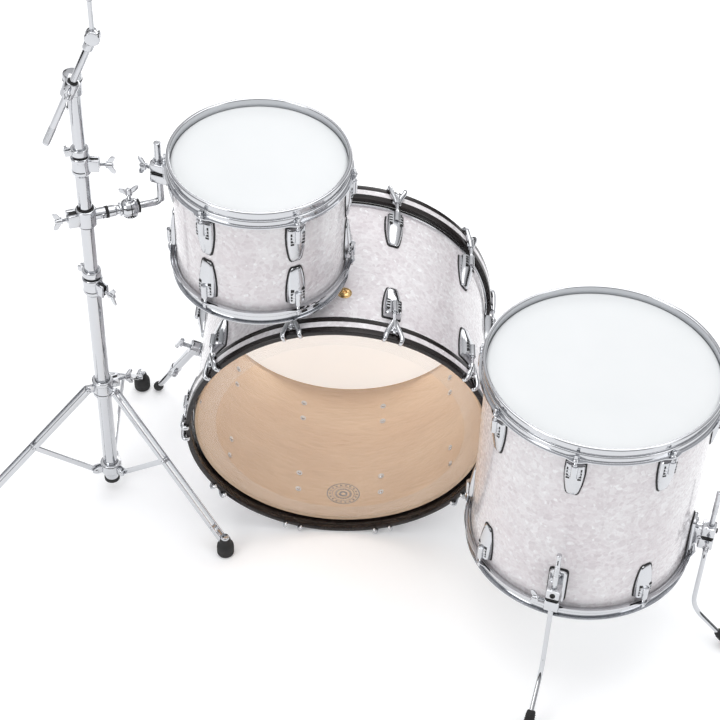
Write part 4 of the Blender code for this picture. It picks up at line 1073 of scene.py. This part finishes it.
# ================================================================ stand
POLE = centre_of("stand_upper_tube")
BASE_R, MIDDLE_R, UPPER_R = 0.0143, 0.0127, 0.0111
CLAMP_HEIGHT = 0.034


def pole(z):
    return at(POLE.x, POLE.y, z)


def stepped_tube(radius, bottom, top, bolt_turn):
    """Tube with the clamp head that grips the next tube, a black block of painted shade in its split, and its
    nylon bush; Z from the floor.
    """
    r = radius * 1000
    t, b, c = top * 1000, bottom * 1000, CLAMP_HEIGHT * 1000
    inner = r - 1.2
    tube = spun(mm((r, t - c - 6), (r, b), (inner, b), (inner, t), (r + 3.6, t), (r + 4.8, t - 2),
                   (r + 4.8, t - 7), (r + 3.8, t - 9),
                   (r + 3.8, t - c + 8), (r + 4.8, t - c + 6), (r + 4.8, t - c + 1), (r + 2.0, t - c - 3)),
                   48, 0.0006)
    ears = [block((0.020, 0.0055, 0.024), (radius + 0.010, side * 0.0058, top - CLAMP_HEIGHT / 2), 0.0018)
            for side in (1, -1)]
    # black block filling the clamp's split: painted shade in the gap
    split = block((0.016, 0.0048, 0.022), (radius + 0.009, 0, top - CLAMP_HEIGHT / 2), 0.0005)
    bush = pipe(radius + 0.0008, radius - 0.0013, top - 0.004, top + 0.0022, 40, 0.0005)
    parts = [(tube, CHROME), (bush, GASKET)]
    parts += [(moved(shape, turn(bolt_turn)), CAST) for shape in ears]
    parts.append((moved(split, turn(bolt_turn)), GASKET))
    return parts


def bolt_turn_of(joint):
    axis = axis_of(joint)
    return math.degrees(math.atan2(axis.y, axis.x))


def memory_lock(radius, height):
    """Split ring with a key screw that sits on a tube."""
    r = radius * 1000
    ring = spun(mm((r + 4.4, 6.5), (r + 5.2, 5), (r + 5.2, -5), (r + 4.4, -6.5), (r + 0.2, -6.5),
                   (r + 0.2, 6.5)), 40, 0.0005)
    lugs = [block((0.013, 0.0045, 0.011), (radius + 0.009, side * 0.0040, 0), 0.001) for side in (1, -1)]
    key = [moved(shape, turn(90, "X"), at(radius + 0.0105, -0.0062, 0)) for shape in square_head()]
    return [(moved(shape, at(0, 0, height)), CAST)
            for shape in [ring] + lugs] + [(moved(shape, at(0, 0, height)), CHROME) for shape in key]


TRIPOD_LEGS = ("1", "2", "3")


def leg_plane(index):
    """Upright plane of a tripod leg: X outward from the pole, origin on the pole at the floor."""
    pivot = place_of(f"stand_leg_{index}_fold")
    return frame_at((POLE.x, POLE.y, 0), UP, (pivot.x - POLE.x, pivot.y - POLE.y, 0)), pivot


def build_tripod():
    _, pivot = leg_plane("1")
    collar_z, hub_z = pivot.z, place_of("stand_strut_1_fold").z
    pivot_r = (Vector((pivot.x, pivot.y)) - Vector((POLE.x, POLE.y))).length
    base_low, base_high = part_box("stand_base_tube")
    parts = stepped_tube(BASE_R, base_low.z, base_high.z, bolt_turn_of("base_wing_bolt_turn"))
    hub = spun(mm((14.5, 13), (20.0, 12), (21.6, 9), (21.6, -9), (20.0, -12), (14.5, -13)), 48, 0.001)
    parts.append((moved(hub, at(0, 0, hub_z)), CAST))
    plug = spun(mm((0, 6), (13.2, 6), (15.6, 4), (15.6, -3), (12.0, -6), (0, -6)), 36, 0.001)
    parts.append((moved(plug, at(0, 0, base_low.z)), RUBBER))
    for index in TRIPOD_LEGS:
        local = pole(0).inverted() @ leg_plane(index)[0]
        for side in (1, -1):
            ear = slab(mm((18, -8), (32, -8), (40, -3), (40, 3), (32, 8), (18, 8)), 0, 0.003, 0.006, 0.0007)
            ear = moved(ear, turn(90, "X"), at(0, side * 0.0050 + 0.0015, hub_z))
            parts.append((moved(ear, local), CAST))
        rivet = spun(mm((0, 8.4), (2.6, 8.0), (4.4, 6.8), (4.4, -6.8), (2.6, -8.0), (0, -8.4)), 24)
        parts.append((moved(along(rivet, "Y"), at(pivot_r, 0, hub_z), local), CHROME))
    put("stand_lower_tube", parts, "kit", pole(0), ["stand_base_tube"])
    put_bolt("base_wing_bolt", "base_wing_bolt_turn", "base_wing_bolt")

    ring = spun(mm((18.6, 20), (20.8, 18), (20.8, 12), (19.6, 10), (19.6, -10), (20.8, -12), (20.8, -18),
                   (18.6, -20), (14.8, -20), (14.8, 20)),
                48, 0.0007)
    parts = [(ring, CAST)]
    lip_turn = bolt_turn_of("tripod_wing_bolt_turn")
    lip = [block((0.016, 0.0060, 0.022), (BASE_R + 0.010, side * 0.0055, 0.006), 0.0018) for side in (1, -1)]
    parts += [(moved(shape, turn(lip_turn)), CAST) for shape in lip]
    # black block between the clamp's lips: painted shade in its split
    parts.append((moved(block((0.012, 0.0052, 0.020), (BASE_R + 0.009, 0, 0.006), 0.0005), turn(lip_turn)),
                  GASKET))
    for index in TRIPOD_LEGS:
        local = pole(0).inverted() @ leg_plane(index)[0]
        ear = slab(mm((16, -8), (32, -8), (38, -3), (38, 3), (32, 8), (16, 8)), -0.0039, 0.0039, 0.005,
                   0.0008)
        parts.append((moved(ear, turn(90, "X"), local), CAST))
    put("tripod_slide", parts, "tripod_collar", pole(collar_z), ["tripod_collar"])
    put_bolt("tripod_wing_bolt", "tripod_wing_bolt_turn", "tripod_wing_bolt")
    for index in TRIPOD_LEGS:
        build_tripod_leg(index, collar_z, hub_z, pivot_r)


TRIPOD_FOOT_RADIUS, TRIPOD_BRACE, STAND_FOOT_HEIGHT = 0.300, 0.165, 0.030


def flat_bar(length, width, thick, centre_y):
    """A flat bar along X with round ends, its pivot at the origin; it stands on edge."""
    end = width / 2
    outline = []
    for start, middle in ((90, 0.0), (-90, length)):
        for step in range(9):
            angle = math.radians(start + 180 * step / 8)
            outline.append(Vector((middle + end * math.cos(angle), end * math.sin(angle))))
    bar_shape = slab(outline, -thick / 2, thick / 2, 0.0, 0.0007)
    return moved(bar_shape, turn(90, "X"), at(0, centre_y, 0))


def build_tripod_leg(index, collar_z, hub_z, pivot_r):
    plane, _ = leg_plane(index)
    foot = Vector((TRIPOD_FOOT_RADIUS, 0, STAND_FOOT_HEIGHT))
    hinge = Vector((pivot_r, 0, collar_z))
    reach = foot - hinge
    direction = reach.normalized()
    tilt = Matrix.Rotation(math.atan2(-direction.z, direction.x), 4, "Y")
    place = plane @ at(*hinge)
    parts = [(moved(flat_bar(reach.length - 0.012, 0.012, 0.0028, side * 0.0062), tilt), CHROME)
             for side in (1, -1)]
    rivet = spun(mm((0, 9.8), (2.6, 9.4), (4.2, 8.0), (4.2, -8.0), (2.6, -9.4), (0, -9.8)), 24)
    for distance in (0.0, TRIPOD_BRACE, reach.length - 0.040):
        parts.append((moved(along(rivet, "Y"), at(distance, 0, 0), tilt), CHROME))
    spacer = block((0.022, 0.0096, 0.0095), (reach.length - 0.020, 0, 0), 0.001)
    parts.append((moved(spacer, tilt), CAST))
    boot = spun(mm((0, 15), (8.5, 15), (10.5, 12), (12.0, 4), (16.2, -3), (17.2, -9), (17.2, -15),
                   (16.4, -17), (17.4, -19), (16.6, -21.5),
                   (17.2, -24), (16.0, -28), (13.0, -30), (0, -30)), 40, 0.0012)
    parts.append((moved(boot, at(*reach)), RUBBER))
    socket = spun(mm((0, 20), (7.2, 20), (8.6, 17), (8.6, 10), (0, 10)), 32, 0.001)
    parts.append((moved(socket, at(*reach)), CAST))
    put(f"stand_leg_bars_{index}", parts, f"stand_leg_{index}", place, [f"stand_leg_{index}"])

    hub = Vector((pivot_r, 0, hub_z))
    joint = hinge + direction * TRIPOD_BRACE
    strut = joint - hub
    tilt = Matrix.Rotation(math.atan2(-strut.z, strut.x), 4, "Y")
    bars = flat_bar(strut.length, 0.0105, 0.0052, 0)
    put(f"stand_strut_bar_{index}", [(moved(bars, tilt), CHROME)], f"stand_strut_{index}",
        plane @ at(*hub),
        [f"stand_strut_{index}"])


def build_tubes():
    middle_low, middle_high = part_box("stand_middle_tube")
    parts = stepped_tube(MIDDLE_R, middle_low.z, middle_high.z, bolt_turn_of("middle_wing_bolt_turn"))
    base_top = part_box("stand_base_tube")[1].z
    lock = memory_lock(MIDDLE_R, base_top + 0.0110)
    parts += [(moved(shape, turn(150)), finish) for shape, finish in lock]
    put("stand_centre_tube", parts, "middle_tube", pole(0), ["stand_middle_tube"])
    put_bolt("middle_wing_bolt", "middle_wing_bolt_turn", "middle_wing_bolt")
    upper_low, upper_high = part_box("stand_upper_tube")
    tube = [(pipe(UPPER_R, UPPER_R - 0.0012, upper_low.z, upper_high.z, 40), CHROME)]
    lock = memory_lock(UPPER_R, middle_high.z + 0.0110)
    tube += [(moved(shape, turn(200)), finish) for shape, finish in lock]
    put("stand_top_tube", tube, "upper_tube", pole(0), ["stand_upper_tube"])


# ================================================================ tom arm
ROD_R = 0.0064
TOM_ROD_OFFSET = 0.042
TOM_BRACKET = (0.054, 0.038, 0.060)
TOM_BRACKET_DROP, TOM_ROD_TOP = 0.080, 0.020
RECEIVER = (0.032, 0.032, 0.036)
ROD_TAIL = 0.010
ROD_BEND = 0.016


def build_tom_arm():
    centre = place_of("tom_tilt")
    outward = axis_of("tom_tilt")
    on_pole = Vector((POLE.x, POLE.y, centre.z))
    clamp = frame_at(on_pole, UP, outward)
    arm_end = (centre - on_pole).length - RECEIVER[0] / 2
    body = spun(mm((16.4, 18), (18.6, 16), (18.6, -16), (16.4, -18), (13.1, -18), (13.1, 18)), 48, 0.0008)
    insert = pipe(0.0152, 0.0129, -0.0205, 0.0205, 40, 0.0005)
    arm_bar = along(spun(mm((0, 15), (10.5, 15), (10.5, arm_end * 1000 - 12), (8.6, arm_end * 1000 - 9),
                            (8.6, arm_end * 1000 - 5),
                            (12.4, arm_end * 1000 - 4), (12.4, arm_end * 1000 - 0.5),
                            (0, arm_end * 1000 - 0.5)), 40, 0.0006), "X")
    ring = along(pipe(0.0112, 0.0100, arm_end - 0.030, arm_end - 0.024, 40, 0.0004), "X")
    jaws = [block((0.022, 0.0078, 0.026), (-MIDDLE_R - 0.011, side * 0.0086, 0), 0.0022) for side in (1, -1)]
    # black block between the jaws: painted shade in the gap
    gap = block((0.016, 0.0090, 0.022), (-MIDDLE_R - 0.009, 0, 0), 0.0006)
    screw = moved(along(round_screw(), "-Y"), at(arm_end * 0.45, -0.0100, 0))
    parts = [(body, CAST), (insert, GASKET), (arm_bar, CAST), (ring, GASKET), (gap, GASKET), (screw, CHROME)]
    parts += [(jaw, CAST) for jaw in jaws]
    put("arm_clamp", parts, "stand_clamp", clamp, ["stand_clamp"])
    put_bolt("clamp_wing_bolt", "clamp_wing_bolt_turn", "clamp_wing_bolt")

    here = frame_at(centre, UP, outward)
    ball = spun(mm((6.9, -15.6), (12.2, -15.0), (16.4, -9), (17.0, 0), (16.4, 9), (12.2, 15.0),
                   (6.9, 15.6)), 44, 0.002)
    hat = spun(mm((0, 18), (7.0, 18), (8.6, 16), (9.6, 12.0), (0, 12.0)), 32, 0.0006)
    base = spun(mm((0, -18), (10.0, -18), (12.4, -16), (12.4, -12), (0, -12)), 32, 0.0008)
    teeth = [moved(block((0.0030, 0.0014, 0.0050), (0.0122, 0, -0.0142), 0.0003), turn(18 * i))
             for i in range(20)]
    seam = along(pipe(0.01725, 0.0150, -0.0008, 0.0008, 44, 0.0002), "X")
    side_plate = along(pipe(0.0128, 0.0070, 0.0150, 0.0178, 36, 0.0006), "X")
    parts = [(along(ball, "X"), CAST), (hat, CAST), (base, GASKET), (seam, GASKET), (side_plate, GASKET)]
    parts += [(tooth, CAST) for tooth in teeth]
    put("arm_ball_receiver", parts, "arm_receiver", here, ["arm_receiver"])
    put_bolt("receiver_wing_bolt", "receiver_wing_bolt_turn", "receiver_wing_bolt", hint=outward)

    swivel = frame_at(place_of("tom_swivel"), axis_of("tom_swivel"), axis_of("tom_wing_bolt_turn"))
    top = swivel @ Vector((0, 0, TOM_BRACKET_DROP - TOM_ROD_TOP))
    up = axis_of("tom_swivel")
    corner = top - up * ((top.z - centre.z) / up.z)
    line = [here.inverted() @ point for point in (top, corner, centre - outward * ROD_TAIL)]
    rod = swept(rounded(line, ROD_BEND, closed=False, steps=10), ROD_R, 32)
    knurls = []
    upright = frame_at(line[0], line[0] - line[1], (1, 0, 0))
    for i in range(8):
        knurls.append(moved(pipe(ROD_R + 0.0002, ROD_R - 0.001, -0.112 - 0.0024 * i, -0.1108 - 0.0024 * i,
                                 32, 0.0002), upright))
    cap = moved(spun(mm((0, 0.8), (4.8, 0.5), (6.5, -0.8), (6.5, -3), (0, -3)), 32, 0.0004), upright)
    put("tom_rod", [(rod, CHROME), (cap, CHROME)] + [(shape, CHROME) for shape in knurls], "tom_arm_rod",
        here,
        ["tom_arm_rod"])

    foot = swivel @ at(-TOM_ROD_OFFSET, 0, 0)
    put("tom_mount", bracket_parts(RACK, TOM_BRACKET, TOM_ROD_OFFSET, ROD_R), "rack_tom", foot,
        ["tom_bracket"])
    put_bolt("tom_wing_bolt", "tom_wing_bolt_turn", "tom_wing_bolt")


# ================================================================ boom
BOOM_BELOW = 0.125
CYMBAL_ROD = 135              # millimetres above the hinge
CYMBAL_SEAT = 82


def build_boom():
    tilter = place_of("boom_tilt")
    z = tilter.z
    head = spun(mm((0, 15), (9, 15), (15.2, 12), (16.4, 8), (16.4, -4), (15.4, -6), (15.4, -28),
                   (14.0, -30), (11.4, -30), (11.4, -17.4), (0, -17.4)),
                44, 0.0009)
    reach = (Vector((tilter.x, tilter.y)) - Vector((POLE.x, POLE.y))).length
    stub = along(spun(mm((0, 2), (9.0, 2), (9.0, reach * 1000 - 16), (12.8, reach * 1000 - 15),
                         (12.8, reach * 1000 - 11.2), (0, reach * 1000 - 11.2)),
                      36, 0.0006), "-Y")
    teeth = [along(moved(block((0.0030, 0.0012, 0.0016), (0.0112, 0, reach - 0.0114), 0.0002),
                         turn(15 * i)), "-Y") for i in range(24)]
    ring = pipe(0.0170, 0.0150, -0.0015, 0.0005, 44, 0.0004)
    parts = [(head, CAST), (stub, CAST), (ring, GASKET)] + [(tooth, CAST) for tooth in teeth]
    put("boom_tilter_head", parts, "boom_tilter", pole(z), ["boom_tilter"])

    lean = axis_of("boom_slide")
    here = frame_at(tilter, lean, (1, 0, 0))
    body = pipe(0.0130, 0.0068, -0.0150, 0.0150, 40, 0.0016)
    disc = along(spun(mm((0, 11), (12.6, 11), (13.4, 9.6), (13.4, 2), (0, 2)), 40, 0.0006), "Y")
    ear = along(spun(mm((0, 11), (8.0, 11), (9.6, 9.4), (9.6, 4), (0, 4)), 36, 0.0008), "-Y")
    bush = pipe(0.0090, 0.0066, -0.0168, 0.0168, 36, 0.0004)
    put("boom_clamp", [(body, CAST), (disc, CAST), (ear, CAST), (bush, GASKET)], "boom_holder",
        here, ["boom_holder"])
    put_bolt("boom_wing_bolt", "boom_wing_bolt_turn", "boom_wing_bolt")

    cymbal = place_of("cymbal_tilt")
    above = (cymbal - tilter).length
    rod = bar(ROD_R - 0.0001, -BOOM_BELOW, above - 0.010, 36, 0.0012)
    knurl = pipe(ROD_R + 0.0002, ROD_R - 0.001, 0.0040 - BOOM_BELOW, 0.0051 - BOOM_BELOW, 36, 0.0002)
    knurls = [moved(knurl, at(0, 0, 0.0022 * i)) for i in range(16)]
    collar = spun(mm((0, above * 1000 - 9), (8.2, above * 1000 - 10), (9.4, above * 1000 - 13),
                     (9.4, above * 1000 - 24), (8.0, above * 1000 - 27),
                     (0, above * 1000 - 27)), 36, 0.0008)
    parts = [(rod, CHROME), (collar, CAST)] + [(shape, CHROME) for shape in knurls]
    put("boom_arm", parts, "boom", here, ["boom_rod"])

    top = frame_at(cymbal, axis_of("cymbal_tilt"), (1, 0, 0))
    knuckle = spun(mm((0, 10), (11.6, 10), (13.2, 8.2), (13.2, 1), (12.4, 0.4), (12.4, -0.4), (13.2, -1),
                      (13.2, -8.2), (11.6, -10), (0, -10)), 40, 0.0005)
    t = CYMBAL_SEAT
    upright = along(thread(0.0038, (t + 18) / 1000, CYMBAL_ROD / 1000), "Y")
    post = along(bar(0.0040, 0.008, (t + 20) / 1000, 28), "Y")
    seat = along(spun(mm((0, t), (18.4, t), (19, t - 1), (19, t - 3), (17, t - 4), (0, t - 4)), 44, 0.0004),
                 "Y")
    cup = along(spun(mm((0, t - 4), (8, t - 4), (8, t - 10), (6, t - 14), (0, t - 14)), 32, 0.0008), "Y")
    felt = along(pipe(0.0170, 0.0042, (t + 0.3) / 1000, (t + 10.5) / 1000, 40, 0.0022), "Y")
    felts = [felt, moved(felt, at(0, 0.0110, 0))]
    nut = mm((0, t + 40), (4.0, t + 40), (6.4, t + 38), (6.4, t + 27), (8.6, t + 25.4), (8.6, t + 23.0),
             (0, t + 23.0))
    nut = along(spun(nut, 32, 0.0006), "Y")
    wings = []
    for side in (1, -1):
        outline = mm((3, t + 28), (9, t + 29), (16, t + 34), (16, t + 40), (12, t + 41), (3, t + 37))
        wings.append(moved(slab(outline, -0.0015, 0.0015, 0.004, 0.0008), turn(90 - 90 * side, "Y")))
    parts = [(knuckle, CAST), (upright, CHROME), (post, CHROME), (seat, CHROME), (cup, CAST), (nut, CAST)]
    parts += [(felt, FELT) for felt in felts] + [(wing, CAST) for wing in wings]
    put("cymbal_post", parts, "cymbal_tilter", top, ["cymbal_tilter"])


# ================================================================ studio
CAMERA_FROM_POLE = Vector((0.5109, -2.5625, 0))
CAMERA_HEIGHT = 2.7070
CAMERA_YAW, CAMERA_PITCH, CAMERA_ROLL = 2.557, 44.275, 4.028
CAMERA_LENS = 89.82
CAMERA_SHIFT = (-0.0846, 0.0924)


def build_camera():
    yaw, pitch, roll = (math.radians(angle) for angle in (CAMERA_YAW, CAMERA_PITCH, CAMERA_ROLL))
    ahead = Vector((math.sin(yaw) * math.cos(pitch), math.cos(yaw) * math.cos(pitch), -math.sin(pitch)))
    right = Vector((math.cos(yaw), -math.sin(yaw), 0))
    up = right.cross(ahead)
    across = right * math.cos(roll) + up * math.sin(roll)
    upward = up * math.cos(roll) - right * math.sin(roll)
    camera = bpy.data.cameras.new("photo_view")
    camera.lens = CAMERA_LENS
    camera.shift_x, camera.shift_y = CAMERA_SHIFT
    obj = bpy.data.objects.new("photo_view", camera)
    bpy.context.scene.collection.objects.link(obj)
    turned = Matrix((across, upward, -ahead)).transposed().to_4x4()
    turned.translation = Vector((POLE.x, POLE.y, 0)) + CAMERA_FROM_POLE + UP * CAMERA_HEIGHT
    obj.matrix_world = turned
    bpy.context.scene.camera = obj


# name, place, target, size, power
LIGHTS = (
    ("overhead", (0.2, 0.2, 3.4), (0, 0, 0.2), (3.4, 2.6), 44),
    ("front_left", (-2.4, -2.2, 2.2), (0, 0, 0.3), (1.4, 1.4), 24),
    ("front_right", (2.6, -1.8, 1.9), (0.2, 0, 0.3), (1.0, 1.6), 9),
    ("rear", (0.3, 2.8, 1.8), (0, 0, 0.3), (2.2, 0.9), 16),
)
# height in the world's sphere, shade: dark below the floor, so that chrome has something dark to show
BACKDROP_STOPS = ((0.0, 0.03), (0.16, 0.06), (0.34, 0.50), (0.80, 0.85))


def area_light(name, place, target, size, power):
    light = bpy.data.lights.new(name, "AREA")
    light.shape = "RECTANGLE"
    light.size, light.size_y = size
    light.energy = power
    obj = bpy.data.objects.new(name, light)
    bpy.context.scene.collection.objects.link(obj)
    obj.matrix_world = frame_at(place, Vector(place) - Vector(target), (1, 0, 0.01))
    return obj


def build_studio():
    floor = Finish("studio_floor", (0.93, 0.935, 0.94), 0.8, Emission_Color=(1, 1, 1, 1),
                   Emission_Strength=0.16)
    floor.colour(floor.ramp(floor.noise(1.5, 2, 0.5).outputs["Fac"], (0.3, (0.925, 0.93, 0.935)),
                            (0.7, (0.94, 0.945, 0.95))))
    bm = bmesh.new()
    bmesh.ops.create_grid(bm, x_segments=1, y_segments=1, size=9.0)
    mesh = finished(bm)
    mesh.materials.append(floor.material)
    obj = bpy.data.objects.new("studio_floor", mesh)
    bpy.context.scene.collection.objects.link(obj)
    obj.location = (0, 0, -0.0005)

    world = bpy.data.worlds.new("studio")
    bpy.context.scene.world = world
    world.use_nodes = True
    nodes, links = world.node_tree.nodes, world.node_tree.links
    coordinates = nodes.new("ShaderNodeTexCoord")
    split = nodes.new("ShaderNodeSeparateXYZ")
    ramp = nodes.new("ShaderNodeValToRGB")
    links.new(coordinates.outputs["Generated"], split.inputs["Vector"])
    links.new(split.outputs["Z"], ramp.inputs["Fac"])
    while len(ramp.color_ramp.elements) < len(BACKDROP_STOPS):
        ramp.color_ramp.elements.new(0.5)
    for element, (position, shade) in zip(ramp.color_ramp.elements, BACKDROP_STOPS):
        element.position = position
        element.color = (shade, shade, shade * 1.02, 1)
    background = nodes["Background"]
    links.new(ramp.outputs["Color"], background.inputs["Color"])
    background.inputs["Strength"].default_value = 1.0

    for light in LIGHTS:
        area_light(*light)
    drum = BASS.place.translation
    glow = area_light("through_front_head", BASS.place @ Vector((0, 0, -0.165)), drum, (0.44, 0.44), 0.7)
    glow.visible_camera = False
    glow.visible_glossy = False
    scene = bpy.context.scene
    scene.view_settings.view_transform = "Standard"
    scene.view_settings.exposure = 0.0


build_bass_drum()
build_tom(RACK)
build_tom(FLOOR)
for spur_name, spur_side in (("left", -1), ("right", 1)):
    build_spur(spur_name, spur_side)
for leg_index in ("1", "2", "3"):
    build_floor_leg(leg_index)
build_tripod()
build_tubes()
build_tom_arm()
build_boom()
build_camera()
build_studio()
